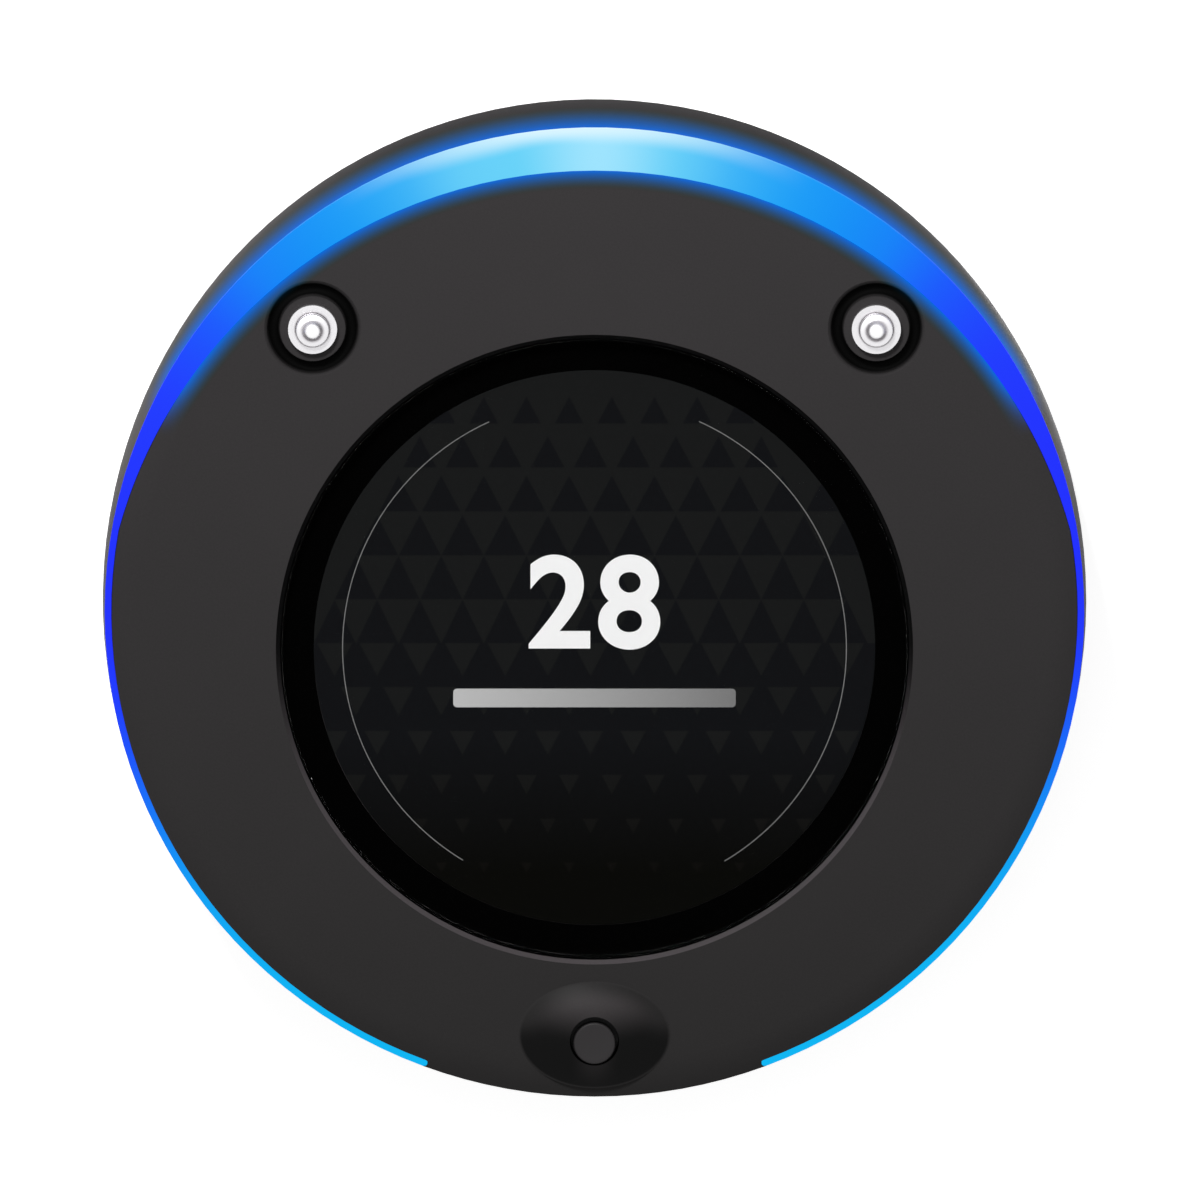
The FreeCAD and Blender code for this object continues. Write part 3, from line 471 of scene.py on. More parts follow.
def makePinFinish():    # bright nickel, painted darker in a ring round the nib where the head is turned in and at the head's rim as a painted dark reflection, with a painted highlight on the nib
    made, tree, shader = newFinish("brightNickel")
    look = pinShine
    axes = placeInMillimetres(tree)
    away = distanceFrom(axes, pager["pinX"], pager["pinY"], mirrored=True)
    # painted dark reflection in the ring and at the rim
    dull = maths("MAXIMUM", band(away, *look["ring"]), band(away, *look["rim"]))
    dull = times(dull, spread(axes[2], *look["dullLevel"]))
    # painted highlight: the nib's top is painted white
    onNib = times(spread(away, *look["nibEdge"], 1.0, 0.0), spread(axes[2], *look["nibLevel"]))
    tone = mixColour(onNib, mixColour(dull, look["bright"], look["dull"]), look["nib"])
    dress(shader, useGroup(tree, turnedMetal, tone, *look["lines"]), bump=metalBump)
    setInputs(shader, {"Metallic": 1.0})
    return made


boardLook = {"tone": "0f5a2e", "trackTone": "1b7a43", "trackEdge": (0.32, 0.38), "cells": 260.0,
             "relief": 0.03, "grain": (0.5, 0.08, 0.38)}


def makeBoardFinish():  # green solder mask with the faint relief of the tracks below it
    made, tree, shader = newFinish("solderMask")
    look = boardLook
    cells = addNode(tree, "ShaderNodeTexVoronoi", {"Vector": objectPlace(tree), "Scale": look["cells"]},
                    distance="CHEBYCHEV", feature="F1").outputs["Distance"]
    track = spread(cells, *look["trackEdge"])
    tone = mixColour(track, look["tone"], look["trackTone"])
    dress(shader, grain(tree, tone, *look["grain"]), bump=look["relief"], height=track)
    return made


finishes = {
    "base_plastic": makeBaseFinish(), "cover_plastic": makeCoverFinish(), "pin_nickel": makePinFinish(),
    "light_diffuser": makeLightFinish(), "clear_window": makeWindowFinish(),
    "printed_label": makeLabelFinish(), "circuit_board": makeBoardFinish(),
}
finishes.update({slot: makeMoulded(slot, *look) for slot, look in mouldedParts.items()})
finishes.update({slot: makeMetal(slot, *look) for slot, look in metalParts.items()})
contactNickel = makeMetal("contact_nickel", (0.5, 0.48, 0.45), 0.35, 0.3, 0.42)     # duller
for name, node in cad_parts.items():
    for holder in node.material_slots:
        holder.material = finishes[holder.material.name.split(".")[0]]
        if name.startswith("base_contact"):
            holder.material = contactNickel
print("finishes set on", len(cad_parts), "nodes")


# Mesh helpers
def addObject(name, data):
    made = bpy.data.objects.new(name, data)
    scene.collection.objects.link(made)
    return made


def meshOf(name, shape):
    mesh = bpy.data.meshes.new(name)
    shape.to_mesh(mesh)
    shape.free()
    return mesh


def finishPiece(name, shape, *look, **settings):
    bmesh.ops.recalc_face_normals(shape, faces=shape.faces)
    return placePiece(name, meshOf(name, shape), *look, **settings)


def placePiece(name, mesh, slot, finish=None, body=housing, sharp=35.0, replaced=()):
    mesh.shade_smooth()
    mesh.set_sharp_from_angle(angle=radians(sharp))
    mesh.materials.clear()
    mesh.materials.append(finish or finishes[slot])
    piece = addObject(name, mesh)
    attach(piece, body)
    if replaced:
        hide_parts(*replaced)
    return piece


def onCircle(radius, turn, x=0.0, y=0.0):
    return x + radius * cos(turn), y + radius * sin(turn)


def addRow(shape, places):
    return [shape.verts.new(Vector(place) * mm) for place in places]


def skin(shape, rows, ring=False, capped=False):    # faces between rows of points; a row of one is a pole
    for low, high in list(zip(rows, rows[1:])) + ([(rows[-1], rows[0])] if ring else []):
        for index in range(max(len(low), len(high))):
            after = index + 1
            corners = [low[index % len(low)], low[after % len(low)],
                       high[after % len(high)], high[index % len(high)]]
            corners = list(dict.fromkeys(corners))
            if len(corners) > 2:
                shape.faces.new(corners)
    if capped:
        shape.faces.new(rows[0])
        shape.faces.new(rows[-1])


def lathe(profile, x=0.0, y=0.0, segments=96, ring=False, shape=None):    # profile of (radius, level)
    shape = shape or bmesh.new()
    turns, rows = [2 * pi * index / segments for index in range(segments)], []
    for radius, level in profile:
        places = [onCircle(radius, turn, x, y) for turn in turns] if radius >= smallest else [(x, y)]
        rows.append(addRow(shape, [(*place, level) for place in places]))
    skin(shape, rows, ring)
    return shape


def arcPoints(centreX, centreZ, radius, fromAngle, toAngle, steps=6):
    turns = [radians(fromAngle + (toAngle - fromAngle) * index / steps) for index in range(steps + 1)]
    return [onCircle(radius, turn, centreX, centreZ) for turn in turns]


# Window lens, label film and tape ring
windowSizes = {"lensRadius": 33.2, "lensChamfer": 0.006, "lensFlat": 0.02, "lensFoot": 0.03,
               "labelRadius": 29.8, "labelTop": 23.41, "tapeInner": 29.85, "tapeOuter": 33.36,
               "tapeTop": 23.44, "lipInner": 33.2, "lipTop": 25.045, "segments": 192}


def buildWindow():
    size, y, segments = windowSizes, pager["windowY"], windowSizes["segments"]
    low, high, edge, foot = pager["lensUnderside"], pager["lensTop"], size["lensChamfer"], size["lensFoot"]
    radius = size["lensRadius"]
    flat = radius - edge - size["lensFlat"]     # the flats end here, so that the edge stays narrow
    profile = [(0, low), (flat, low), (radius - foot, low), (radius, low + foot), (radius, high - edge)]
    profile += arcPoints(radius - edge, high - edge, edge, 30, 90, 3) + [(flat, high), (0, high)]
    finishPiece("clear_lens", lathe(profile, 0, y, segments), "clear_window", replaced=["window_lens"])
    floor, top, radius = pager["labelFloor"], size["labelTop"], size["labelRadius"]
    profile = [(0, floor), (radius, floor), (radius, top), (0, top)]
    finishPiece("label_film", lathe(profile, 0, y, segments), "printed_label", replaced=["label_insert"])
    inner, outer, lip, brim, top = [
        size[key] for key in ("tapeInner", "tapeOuter", "lipInner", "lipTop", "tapeTop")]
    # the tape turns up round the window's edge
    profile = [(inner, floor), (outer, floor), (outer, brim), (lip, brim), (lip, top), (inner, top)]
    finishPiece("tape_ring", lathe(profile, 0, y, segments, ring=True), "black_tape",
                replaced=["lens_tape_ring"])


# Label print: two arcs, a plain number and a plain bar
printLook = {"level": 23.41, "thickness": 0.015, "ringRadius": 26.75, "ringY": -3.84, "ringWidth": 0.1,
             "arcSteps": 96, "rightArc": (-58.9, 65.5), "leftArc": (114.7, 238.5), "number": "28",
             "numberHeight": 9.6, "fontSize": 1.43, "numberWeight": 0.022, "numberGap": 1.08, "numberY": 1.1,
             "barWidth": 30.0, "barHeight": 2.0, "barY": -9.2, "barCorner": 0.4}
ringInk = makeInk("greyInk", "7c7c7c")
numberInk = makeInk("whiteInk", "ffffff")
barInk = makeInk("silverInk", "c4c4c4", "7e7e7e", 0, -15.0, 15.0)


def buildArcs():
    look, shape = printLook, bmesh.new()
    section = [(look["ringRadius"] + side * look["ringWidth"], look["level"] + up * look["thickness"])
               for side, up in ((-0.5, 0), (0.5, 0), (0.5, 1), (-0.5, 1))]
    for first, last in (look["rightArc"], look["leftArc"]):
        rows = []
        for index in range(look["arcSteps"] + 1):
            turn = radians(first + (last - first) * index / look["arcSteps"])
            rows.append(addRow(shape, [(*onCircle(reach, turn, 0.0, look["ringY"]), level)
                                       for reach, level in section]))
        skin(shape, rows, capped=True)
    finishPiece("label_ring_arcs", shape, "printed_label", ringInk)


def plainMesh(piece):   # the mesh of an object with its modifiers, or of a text
    bpy.context.view_layer.update()
    return bpy.data.meshes.new_from_object(piece.evaluated_get(bpy.context.evaluated_depsgraph_get()))


def buildNumber():
    look = printLook
    text = bpy.data.curves.new("numberText", "FONT")
    text.body = look["number"]
    text.align_x, text.align_y = "CENTER", "CENTER"
    text.size = look["numberHeight"] * look["fontSize"] * mm
    text.offset = look["numberWeight"] * text.size
    text.space_character = look["numberGap"]
    text.extrude = look["thickness"] / 2 * mm
    holder = addObject("numberText", text)
    mesh = plainMesh(holder)
    bpy.data.objects.remove(holder)
    across, along = [[corner.co[axis] for corner in mesh.vertices] for axis in (0, 1)]
    middle = Vector(((min(across) + max(across)) / 2, (min(along) + max(along)) / 2, 0))
    place = Vector((0, look["numberY"] * mm, (look["level"] + look["thickness"] / 2) * mm))
    mesh.transform(Matrix.Translation(place - middle))
    shape = bmesh.new()
    shape.from_mesh(mesh)
    bmesh.ops.remove_doubles(shape, verts=shape.verts, dist=1e-7)
    finishPiece("label_number", shape, "printed_label", numberInk)


def buildBar():
    look, shape, outline = printLook, bmesh.new(), []
    corner = look["barCorner"]
    wide, tall = look["barWidth"] / 2 - corner, look["barHeight"] / 2 - corner
    for sideX, sideY, first in ((1, 1, 0), (-1, 1, 90), (-1, -1, 180), (1, -1, 270)):
        outline += arcPoints(sideX * wide, look["barY"] + sideY * tall, corner, first, first + 90, 5)
    skin(shape, [addRow(shape, [(x, y, level) for x, y in outline])
                 for level in (look["level"], look["level"] + look["thickness"])], capped=True)
    finishPiece("label_bar", shape, "printed_label", barInk)


# Geometry Nodes helpers
def startGeometry(name, **inputs):  # inputs by kind, their names parted by commas
    tree = bpy.data.node_groups.new(name, "GeometryNodeTree")
    sockets = tree.interface
    sockets.new_socket(name="Geometry", in_out="INPUT", socket_type="NodeSocketGeometry")
    for kind, labels in inputs.items():
        for label in labels.split(", "):
            sockets.new_socket(name=label, in_out="INPUT", socket_type="NodeSocket" + kind)
    sockets.new_socket(name="Geometry", in_out="OUTPUT", socket_type="NodeSocketGeometry")
    return tree, tree.nodes.new("NodeGroupInput").outputs


def grow(tree, kind, inputs=None, **settings):
    return outputOf(tree, "GeometryNode" + kind, inputs, **settings)


def endGeometry(tree, shape, finish):
    real = grow(tree, "RealizeInstances", {"Geometry": shape})
    done = grow(tree, "SetMaterial", {"Geometry": real, "Material": finish})
    addNode(tree, "NodeGroupOutput", {"Geometry": done})
    return tree


def moved(tree, shape, **change):   # set to a Position, or shifted by an Offset
    return grow(tree, "SetPosition", {"Geometry": shape, **change})


# Runs a tree on a start mesh and gives back a plain mesh. An input such as Head Radius takes the value named
# headRadius or, if there is none, the size of that name in mm.
def growMesh(tree, start, sizes, **values):
    holder = addObject(tree.name, start)
    grown = holder.modifiers.new(tree.name, "NODES")
    grown.node_group = tree
    for item in tree.interface.items_tree:
        if item.in_out == "INPUT" and item.name != "Geometry":
            key = item.name[0].lower() + item.name[1:].replace(" ", "")
            grown[item.identifier] = values[key] if key in values else sizes[key] * mm
    mesh = plainMesh(holder)
    holder.modifiers.remove(grown)
    bpy.data.objects.remove(holder)
    return mesh


# Triangle pattern of the label: every other row stands half a step aside, and the size changes row by row
patternLook = {
    "stepX": 4.53, "stepY": 4.72, "thickness": 0.008, "keepRadius": 29.2, "firstX": -0.42,
    "grid": {"columns": 15, "rows": 6, "height": 0.9},      # height and sizes in shares of a step
    "upper": {"top": 20.3, "rowShift": 1.0, "firstSize": 0.67, "sizeStep": 0.113, "direction": 1.0},
    "lower": {"top": -3.3, "rowShift": 0.0, "firstSize": 0.83, "sizeStep": -0.114, "direction": -1.0},
}


def makePatternTree():
    tree, given = startGeometry(
        "trianglePattern", Int="Columns, Rows", Material="Ink",
        Float="Step X, Step Y, First X, First Y, Row Shift, First Size, Size Step, Height, Direction, "
              "Thickness, Level, Keep Radius, Keep Y")
    columns, fullSize = given["Columns"], 0.985     # at this size the triangles all but touch
    points = grow(tree, "MeshLine", {"Count": times(columns, given["Rows"])}, mode="OFFSET")
    index = grow(tree, "InputIndex")
    row = maths("FLOOR", over(plus(index, 0.5), columns))
    column = minus(index, times(row, columns))
    aside = times(maths("MODULO", plus(row, given["Row Shift"]), 2.0), 0.5)
    across = plus(minus(column, over(minus(columns, 1.0), 2.0)), aside)
    x = plus(given["First X"], times(across, given["Step X"]))
    y = minus(given["First Y"], times(row, given["Step Y"]))
    placed = moved(tree, points, Position=vector(tree, x, y, given["Level"]))
    outside = maths("GREATER_THAN", reachOf(x, minus(y, given["Keep Y"])), given["Keep Radius"])
    kept = grow(tree, "DeleteGeometry", {"Geometry": placed, "Selection": outside}, domain="POINT")
    # one prism with its base on the row's line, a step wide and a step tall
    prism = grow(tree, "MeshCone", {
        "Vertices": 3, "Radius Top": 1.0, "Radius Bottom": 1.0, "Depth": 1.0}, fill_type="NGON")
    turned = grow(tree, "Transform", {
        "Geometry": prism, "Rotation": (0.0, 0.0, radians(90)),
        "Scale": (1 / 1.5, 1 / math.sqrt(3), 1.0)})     # scaled before it is turned
    based = grow(tree, "Transform", {"Geometry": turned, "Translation": (0.0, 1 / 3, 0.0)})
    # the count of points has changed, so the row is read from where each one is
    level = axesOf(tree, grow(tree, "InputPosition"))[1]
    rowNow = over(minus(given["First Y"], level), given["Step Y"])
    size = plus(given["First Size"], times(rowNow, given["Size Step"]))
    wide = times(maths("MINIMUM", size, fullSize), given["Step X"])
    tall = times(maths("MINIMUM", times(size, given["Height"]), fullSize), given["Step Y"])
    scale = vector(tree, wide, times(tall, given["Direction"]), given["Thickness"])
    repeated = grow(tree, "InstanceOnPoints", {"Points": kept, "Instance": based, "Scale": scale})
    return endGeometry(tree, repeated, given["Ink"])


def buildPattern():
    look, tree = patternLook, makePatternTree()
    inks = {"upper": makeInk("darkInk", labelLook["dark"]),
            "lower": makeInk("charcoalInk", labelLook["light"], "100f0d", 1, -14.0, -28.0)}
    for part, ink in inks.items():
        sizes = {**look, "firstY": look[part]["top"], "keepY": pager["windowY"],
                 "level": printLook["level"] + look["thickness"] / 2}
        mesh = growMesh(tree, bpy.data.meshes.new(part), sizes, ink=ink, **look["grid"], **look[part])
        shape = bmesh.new()
        shape.from_mesh(mesh)
        finishPiece("label_pattern_" + part, shape, "printed_label", ink, sharp=5.0)


buildWindow()
buildArcs()
buildNumber()
buildBar()
buildPattern()
print("window and label built")


# Charging pins: a turned head with a small raised nib in the stepped collar
pinLook = {"bottom": 23.9, "flangeRadius": 1.95, "flangeTop": 25.3, "neck": 25.4, "headRadius": 1.8,
           "shoulder": 27.2, "shoulderEdge": 0.3, "nibFoot": 27.24, "top": 27.89, "nibInner": 0.55,
           "nibOuter": 1.3, "nibSteps": 12}


def buildPins():
    look = pinLook
    radius, edge, flange = look["headRadius"], look["shoulderEdge"], look["flangeRadius"]
    for side, x in pinSides.items():
        profile = [(0, look["bottom"]), (flange, look["bottom"]), (flange, look["flangeTop"]),
                   (radius, look["neck"])]
        profile += arcPoints(radius - edge, look["shoulder"] - edge, edge, 0, 80, 6)
        for index in range(look["nibSteps"] + 1):   # the nib rises from the head in one soft curve
            share = index / look["nibSteps"]
            lift = (1 - cos(pi * share)) / 2
            profile.append((look["nibOuter"] + (look["nibInner"] - look["nibOuter"]) * share,
                            look["nibFoot"] + (look["top"] - look["nibFoot"]) * lift))
        profile += [(look["nibInner"] * 0.5, look["top"]), (0, look["top"])]
        finishPiece("pin_head_" + side, lathe(profile, x, pager["pinY"], 72), "pin_nickel",
                    body="pin_" + side, sharp=50, replaced=["charge_pin_plunger_" + side])


# Push cap: a slim top on its guide and stem, resting a little low in the hole of the nub
capLook = {"stemRadius": 1.6, "flangeRadius": 3.4, "guideRadius": 2.5, "topRadius": 2.25, "flangeLow": 22.82,
           "flangeTop": 23.62, "slimHeight": 1.2, "overlap": 0.3, "edge": 0.22, "dish": 0.05, "lean": -0.28,
           "tone": "2b292a", "lowTone": "020202", "darkFrom": 0.3, "darkTo": 0.8, "specular": 0.2,
           "bump": 0.003, "grain": (0.15, 0.1, 0.5)}


def makeCapFinish(top):     # the same plastic, painted darker down in the hole as painted shade
    made, tree, shader = newFinish("pushCapPlastic")
    look = capLook
    paintedHoleShade = spread(placeInMillimetres(tree)[2], top - look["darkTo"], top - look["darkFrom"], 1.0, 0.0)
    tone = mixColour(paintedHoleShade, look["tone"], look["lowTone"])
    dress(shader, grain(tree, tone, *look["grain"]), look["specular"], look["bump"])
    return made


def buildCap():
    look, y = capLook, pager["buttonY"]
    low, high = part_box("button_cap")
    bottom, top = low[2] / mm, high[2] / mm
    guideTop, edge = top - look["slimHeight"], look["edge"]
    stem, flange, guide, slim = [look[part + "Radius"] for part in ("stem", "flange", "guide", "top")]
    profile = [(0, bottom), (stem, bottom), (stem, look["flangeLow"]), (flange, look["flangeLow"]),
               (flange, look["flangeTop"]), (guide, look["flangeTop"]), (guide, guideTop), (0, guideTop)]
    shape = lathe(profile, 0, y, 64)
    foot, dished = guideTop - look["overlap"], top - look["dish"]
    profile = [(0, foot), (slim, foot), (slim, top - edge)]
    profile += arcPoints(slim - edge, top - edge, edge, 15, 90, 5)
    profile += [(slim * 0.75, top - look["dish"] * 0.6), (slim * 0.4, dished), (0, dished)]
    finishPiece("push_cap", lathe(profile, 0, y + look["lean"], 64, shape=shape), "button_plastic",
                makeCapFinish(top), body="button", sharp=40, replaced=["button_cap"])


buildPins()
buildCap()
print("pins and push cap built")


# Springs under the pin heads and the snap dome of the switch, which flatten when they are pressed; here they
# are built only in their rest shape
springLook = {"turns": 7.0, "coilRadius": 1.7, "wireRadius": 0.19, "low": 15.115, "high": 23.885,
              "travel": 1.2, "points": 36, "wirePoints": 10}
domeLook = {"radius": 2.1, "height": 0.695, "thickness": 0.12, "low": 15.0, "travel": 0.5, "spare": 0.01}


def makeSpringTree():
    tree, given = startGeometry("coilSpring", Int="Points, Wire Points", Material="Finish",
                                Float="Turns, Coil Radius, Wire Radius, Low, High, Place X, Place Y")
    flat = grow(tree, "CurveSpiral", {
        "Resolution": given["Points"], "Rotations": given["Turns"], "Start Radius": given["Coil Radius"],
        "End Radius": given["Coil Radius"], "Height": 0.0})
    along = addNode(tree, "GeometryNodeSplineParameter").outputs["Factor"]
    first = over(1.0, given["Turns"])
    last = minus(1.0, first)
    wire = times(given["Wire Radius"], 2.04)    # a wire's thickness and a little air
    tall = minus(minus(given["High"], given["Low"]), wire)
    spare = minus(tall, times(wire, 2.0))
    level = plus(given["Low"], times(wire, 0.5))
    # the first and last turns lie close, the others are spread evenly
    for low, high, rise in ((0.0, first, wire), (first, last, spare), (last, 1.0, wire)):
        level = plus(level, spread(along, low, high, 0.0, rise, "LINEAR"))
    path = moved(tree, flat, Offset=vector(tree, given["Place X"], given["Place Y"], level))
    section = grow(tree, "CurvePrimitiveCircle", {
        "Resolution": given["Wire Points"], "Radius": given["Wire Radius"]}, mode="RADIUS")
    coil = grow(tree, "CurveToMesh", {"Curve": path, "Profile Curve": section, "Fill Caps": True})
    return endGeometry(tree, coil, given["Finish"])


def buildSprings():
    look, tree, y = springLook, makeSpringTree(), pager["pinY"]
    for side, x in pinSides.items():
        mesh = growMesh(tree, bpy.data.meshes.new("spring" + side), {**look, "placeX": x, "placeY": y},
                        turns=look["turns"], points=look["points"], wirePoints=look["wirePoints"],
                        finish=finishes["spring_steel"])
        spring = placePiece("pin_spring_" + side, mesh, "spring_steel", sharp=60.0,
                            replaced=["charge_pin_spring_" + side])
        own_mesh(spring)

    look, y, crown = domeLook, pager["buttonY"], []
    for thinner in (look["thickness"], 0):
        radius, height = look["radius"] - thinner, look["height"] - thinner
        ball = (radius ** 2 + height ** 2) / (2 * height)
        edge = math.degrees(math.acos(radius / ball))
        crown.append(arcPoints(0, look["low"] + height - ball, ball, edge, 90, 8))
    dome = finishPiece("snap_dome", lathe(crown[0][::-1] + crown[1], 0, y, 48), "spring_steel",
                       replaced=["switch_dome"])
    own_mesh(dome)


buildSprings()
print("springs and snap dome built")


# Underside: pan-head screws and rubber feet, each made once and set on its places
screwLook = {"circle": 41.5, "angles": (90.0, 0.0, 180.0, -55.0, -125.0), "seat": 8.0, "headRadius": 2.5,
             "headHeight": 1.8, "dome": 0.7, "crossLength": 2.7, "crossWidth": 0.62, "crossDepth": 0.95,
             "shankRadius": 1.3, "shankLength": 12.3, "overlap": 0.3, "pitch": 1.0, "threadDepth": 0.2,
             "seed": 4}
footLook = {"circle": 36.0, "angles": (25.0, 155.0, -148.0, -32.0), "radius": 4.5, "top": 1.0, "edge": 0.3,
            "ribs": (1.3, 2.5), "ribWidth": 0.35, "ribDepth": 0.12}


def makeScrewTree():
    tree, given = startGeometry(
        "panHeadScrew", Material="Finish",
        Float="Head Radius, Head Height, Dome, Cross Length, Cross Width, Cross Depth, Shank Radius, "
              "Shank Length, Overlap, Pitch, Thread Depth")
    tall, smallGap = given["Head Height"], 0.00003
    head = grow(tree, "MeshCylinder", {
        "Vertices": 48, "Side Segments": 2, "Fill Segments": 8, "Radius": given["Head Radius"],
        "Depth": tall}, fill_type="NGON")
    axes = axesOf(tree, grow(tree, "InputPosition"))
    share = over(reachOf(axes[0], axes[1]), given["Head Radius"])
    down = minus(0.5, over(axes[2], tall))      # 1 at the head's outside
    lift = times(times(share, share), times(given["Dome"], down))
    domed = moved(tree, head, Offset=vector(tree, z=minus(lift, times(tall, 0.5))))
    cut = addNode(tree, "GeometryNodeMeshBoolean", {"Mesh 1": domed}, operation="DIFFERENCE")
    for first, second in (("Cross Length", "Cross Width"), ("Cross Width", "Cross Length")):
        size = vector(tree, given[first], given[second], times(given["Cross Depth"], 2.0))
        bar = grow(tree, "MeshCube", {"Size": size})
        bar = grow(tree, "Transform", {"Geometry": bar, "Translation": vector(tree, z=times(tall, -1.0))})
        tree.links.new(bar, cut.inputs["Mesh 2"])
    crossed = grow(tree, "MergeByDistance", {"Geometry": cut.outputs[0], "Distance": smallGap})
    shank = grow(tree, "MeshCylinder", {
        "Vertices": 24, "Side Segments": 72, "Radius": given["Shank Radius"], "Depth": given["Shank Length"]},
        fill_type="NGON")
    # the thread is a groove that winds round the shank
    turn = over(maths("ARCTAN2", axes[1], axes[0]), 2 * pi)
    wave = maths("PINGPONG", plus(over(axes[2], given["Pitch"]), turn), 0.5)
    keep = minus(1.0, times(times(wave, 2.0), over(given["Thread Depth"], given["Shank Radius"])))
    narrow = vector(tree, times(axes[0], keep), times(axes[1], keep), axes[2])
    rise = vector(tree, z=minus(times(given["Shank Length"], 0.5), given["Overlap"]))
    joined = addNode(tree, "GeometryNodeJoinGeometry")
    for part in (moved(tree, shank, Position=narrow, Offset=rise), crossed):
        tree.links.new(part, joined.inputs[0])
    return endGeometry(tree, joined.outputs[0], given["Finish"])


def makePlacesTree():
    tree, given = startGeometry("setOnPlaces", Object="Piece", Float="Most Turn", Int="Seed",
                                Material="Finish")
    piece = addNode(tree, "GeometryNodeObjectInfo", {"Object": given["Piece"]}).outputs["Geometry"]
    turn = addNode(tree, "FunctionNodeRandomValue", {2: 0.0, 3: given["Most Turn"], "Seed": given["Seed"]},
                   data_type="FLOAT").outputs[1]
    rotation = outputOf(tree, "FunctionNodeEulerToRotation", {0: vector(tree, z=turn)})
    points = grow(tree, "MeshToPoints", {"Mesh": given["Geometry"]})
    placed = grow(tree, "InstanceOnPoints", {"Points": points, "Instance": piece, "Rotation": rotation})
    return endGeometry(tree, placed, given["Finish"])


def setOnPlaces(tree, single, look, level, slot, mostTurn=0.0, seed=1):
    holder = addObject("single", single)
    places = bpy.data.meshes.new("places")
    turns = [radians(angle) for angle in look["angles"]]
    places.from_pydata([Vector((*onCircle(look["circle"], turn), level)) * mm for turn in turns], [], [])
    made = growMesh(tree, places, {}, piece=holder, mostTurn=mostTurn, seed=seed, finish=finishes[slot])
    bpy.data.objects.remove(holder)
    return made


def buildUnderside():
    tree, look = makePlacesTree(), screwLook
    single = growMesh(makeScrewTree(), bpy.data.meshes.new("start"), look, finish=finishes["screw_steel"])
    mesh = setOnPlaces(tree, single, look, look["seat"], "screw_steel", pi, look["seed"])
    placePiece("pan_head_screws", mesh, "screw_steel", sharp=40, replaced=["housing_screws"])

    look = footLook
    radius, edge = look["radius"], look["edge"]
    profile = [(0, look["top"]), (radius, look["top"]), (radius, edge)]
    profile += arcPoints(radius - edge, edge, edge, -15, -90, 5)
    for middle in reversed(look["ribs"]):   # the rings between the ribs are shallow grooves
        half = look["ribWidth"] / 2
        profile += [(middle + half, 0), (middle + half * 0.6, look["ribDepth"]),
                    (middle - half * 0.6, look["ribDepth"]), (middle - half, 0)]
    shape = lathe(profile + [(0, 0)], 0, 0, 64)
    bmesh.ops.recalc_face_normals(shape, faces=shape.faces)
    mesh = setOnPlaces(tree, meshOf("foot", shape), look, 0.0, "foot_rubber")
    placePiece("moulded_feet", mesh, "foot_rubber", sharp=40, replaced=["rubber_feet"])


buildUnderside()
print("screws and feet built")


# Floor, studio light and camera
studio = {"tilt": 8.8, "worldLevel": 0.42, "dark": 0.003, "darkInner": 4.0, "darkOuter": 8.0,
          "floorSize": 4.0, "floorTone": 0.85, "floorLift": 0.75, "floorDrop": 0.05, "mirrorLift": 0.2}
# Lamps: power, place, aim, size. The floor keeps the one below it from the object's upper side.
lamps = {"key": (6.6, (-0.2, 0.6, 0.75), (0, 0.02, 0.02), (0.22, 0.2)),
         "under": (1.6, (0.25, 0.3, -0.7), (0, 0, 0), (0.4, 0.4))}


def backgroundRay(tree):
    seen = maths("MAXIMUM", ray(tree, "Is Camera Ray"), ray(tree, "Is Glossy Ray"))
    seen = maths("MAXIMUM", seen, ray(tree, "Is Transmission Ray"))
    return times(seen, maths("LESS_THAN", ray(tree, "Diffuse Depth"), 0.5))


def buildFloor():
    shape = bmesh.new()
    bmesh.ops.create_grid(shape, x_segments=8, y_segments=8, size=studio["floorSize"])
    mesh = meshOf("floor", shape)
    mesh.transform(Matrix.Translation((0, 0, -studio["floorDrop"] * mm)))
    floor = addObject("floor", mesh)
    made, tree, shader = newFinish("paleFloor")
    mesh.materials.append(made)
    tones = [(tone, tone, tone, 1.0) for tone in (studio["floorTone"], studio["floorTone"] * 0.99)]
    pale = mixColour(noise(tree, objectPlace(tree), 3.0, 2.0), *tones)
    setInputs(shader, {"Base Color": pale, "Roughness": 0.9, "Specular IOR Level": 0.0})
    seen = ray(tree, "Is Camera Ray")
    level = maths("MAXIMUM", times(backgroundRay(tree), studio["mirrorLift"]),
                  times(seen, studio["floorLift"]))
    lift = outputOf(tree, "ShaderNodeEmission", {"Color": white, "Strength": level})
    total = outputOf(tree, "ShaderNodeAddShader", {0: shader.outputs[0], 1: lift})
    # seen from below the floor is clear, and stays so for what such a ray meets next
    behind = times(addNode(tree, "ShaderNodeNewGeometry").outputs["Backfacing"], seen)
    passed = maths("GREATER_THAN", ray(tree, "Transparent Depth"), 0.5)
    clear = outputOf(tree, "ShaderNodeBsdfTransparent")
    shown = outputOf(tree, "ShaderNodeMixShader", {0: maths("MAXIMUM", behind, passed), 1: total, 2: clear})
    setInputs(tree.nodes["Material Output"], {"Surface": shown})


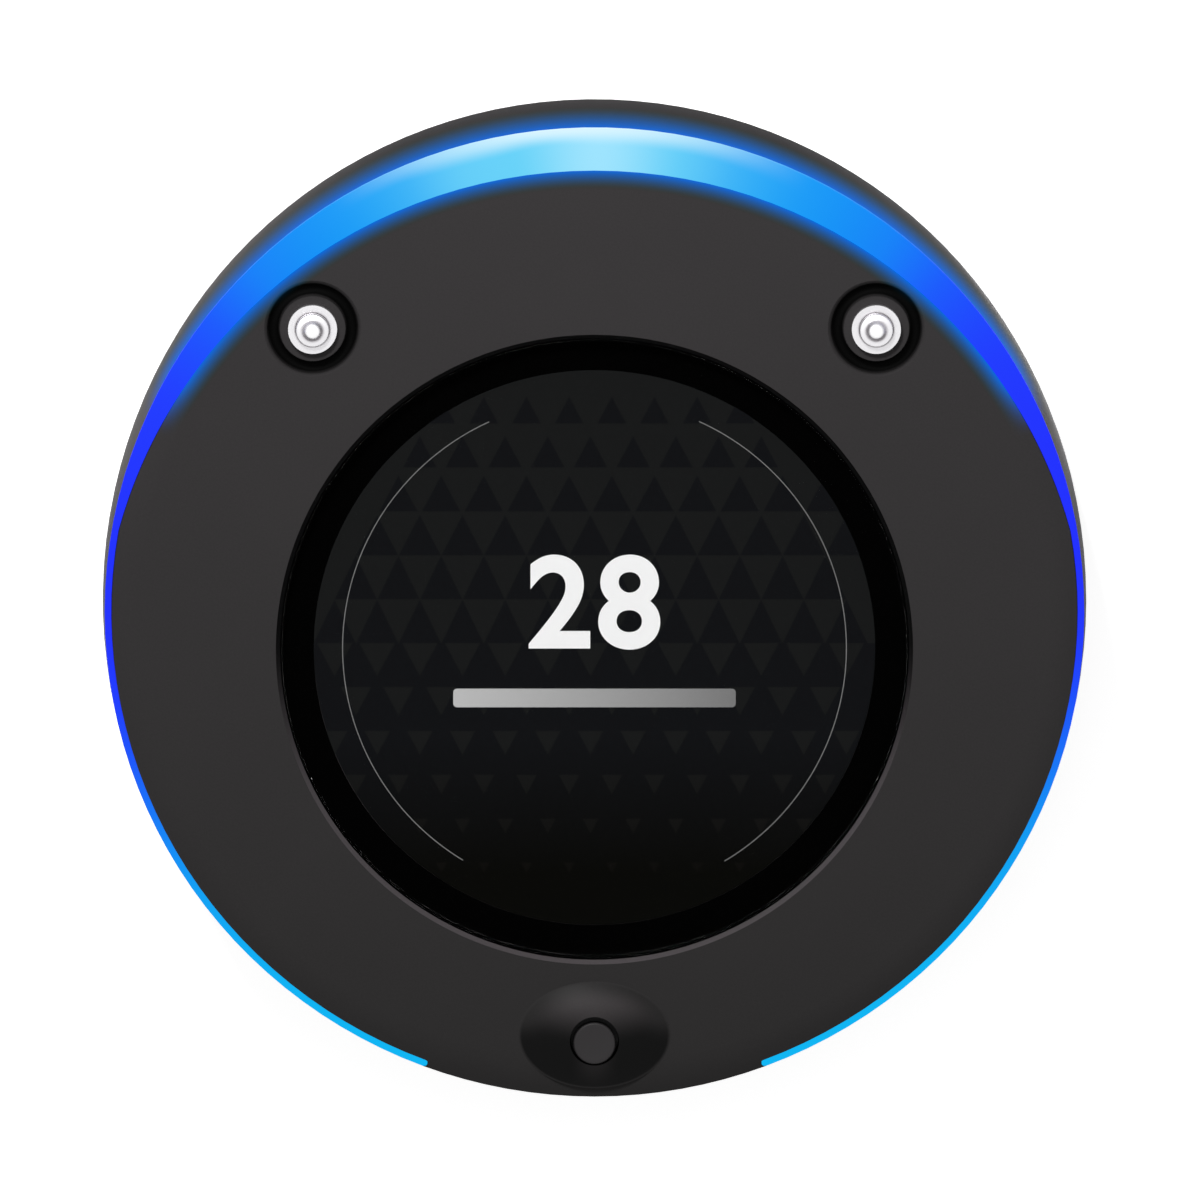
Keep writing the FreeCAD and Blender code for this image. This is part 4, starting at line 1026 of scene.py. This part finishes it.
def buildWorld():
    scene.world = bpy.data.worlds.new("studio")
    scene.world.use_nodes = True
    tree = scene.world.node_tree
    tree.nodes.clear()
    # the small patch of sky that the window mirrors straight on is dark
    tilt = radians(studio["tilt"])
    direction = addNode(tree, "ShaderNodeTexCoord").outputs["Generated"]
    mirror = addNode(tree, "ShaderNodeVectorMath", {
        0: direction, 1: (0.0, -sin(tilt), cos(tilt))}, operation="DOT_PRODUCT").outputs["Value"]
    outer, inner = [cos(radians(studio[key])) for key in ("darkOuter", "darkInner")]
    bright = spread(mirror, outer, inner, 1.0, studio["dark"])
    level = spread(backgroundRay(tree), 0.0, 1.0, studio["worldLevel"], 1.0, "LINEAR")
    sky = outputOf(tree, "ShaderNodeBackground", {"Color": white, "Strength": times(bright, level)})
    addNode(tree, "ShaderNodeOutputWorld", {"Surface": sky})


def addLamp(name, power, place, aim, size):
    lamp = bpy.data.lights.new(name, "AREA")
    lamp.energy, lamp.shape = power, "RECTANGLE"
    lamp.size, lamp.size_y = size
    holder = addObject(name, lamp)
    holder.location = place
    holder.rotation_euler = (Vector(aim) - holder.location).to_track_quat("-Z", "Y").to_euler()
    holder.visible_camera = False


cameraLook = {"lens": 1600.0, "sensor": 36.0, "frameWidth": 127.4, "clip": (0.05, 50.0),
              "middleX": 0.587, "middleUp": 1.465}      # frame's middle from the rim's middle, in mm


def buildCamera():
    look, tilt = cameraLook, radians(studio["tilt"])
    towards = Vector((0, sin(tilt), cos(tilt)))
    upward = Vector((0, cos(tilt), -sin(tilt)))
    aim = Vector((look["middleX"], 0, pager["rimLevel"])) + upward * look["middleUp"]
    camera = bpy.data.cameras.new("camera")
    camera.lens, camera.sensor_width = look["lens"], look["sensor"]
    camera.clip_start, camera.clip_end = look["clip"]
    holder = addObject("camera", camera)
    holder.location = (aim + towards * (look["lens"] * look["frameWidth"] / look["sensor"])) * mm
    holder.rotation_euler = (-tilt, 0, 0)
    scene.camera = holder


buildFloor()
buildWorld()
for name, look in lamps.items():
    addLamp(name, *look)
buildCamera()
print("studio and camera set")
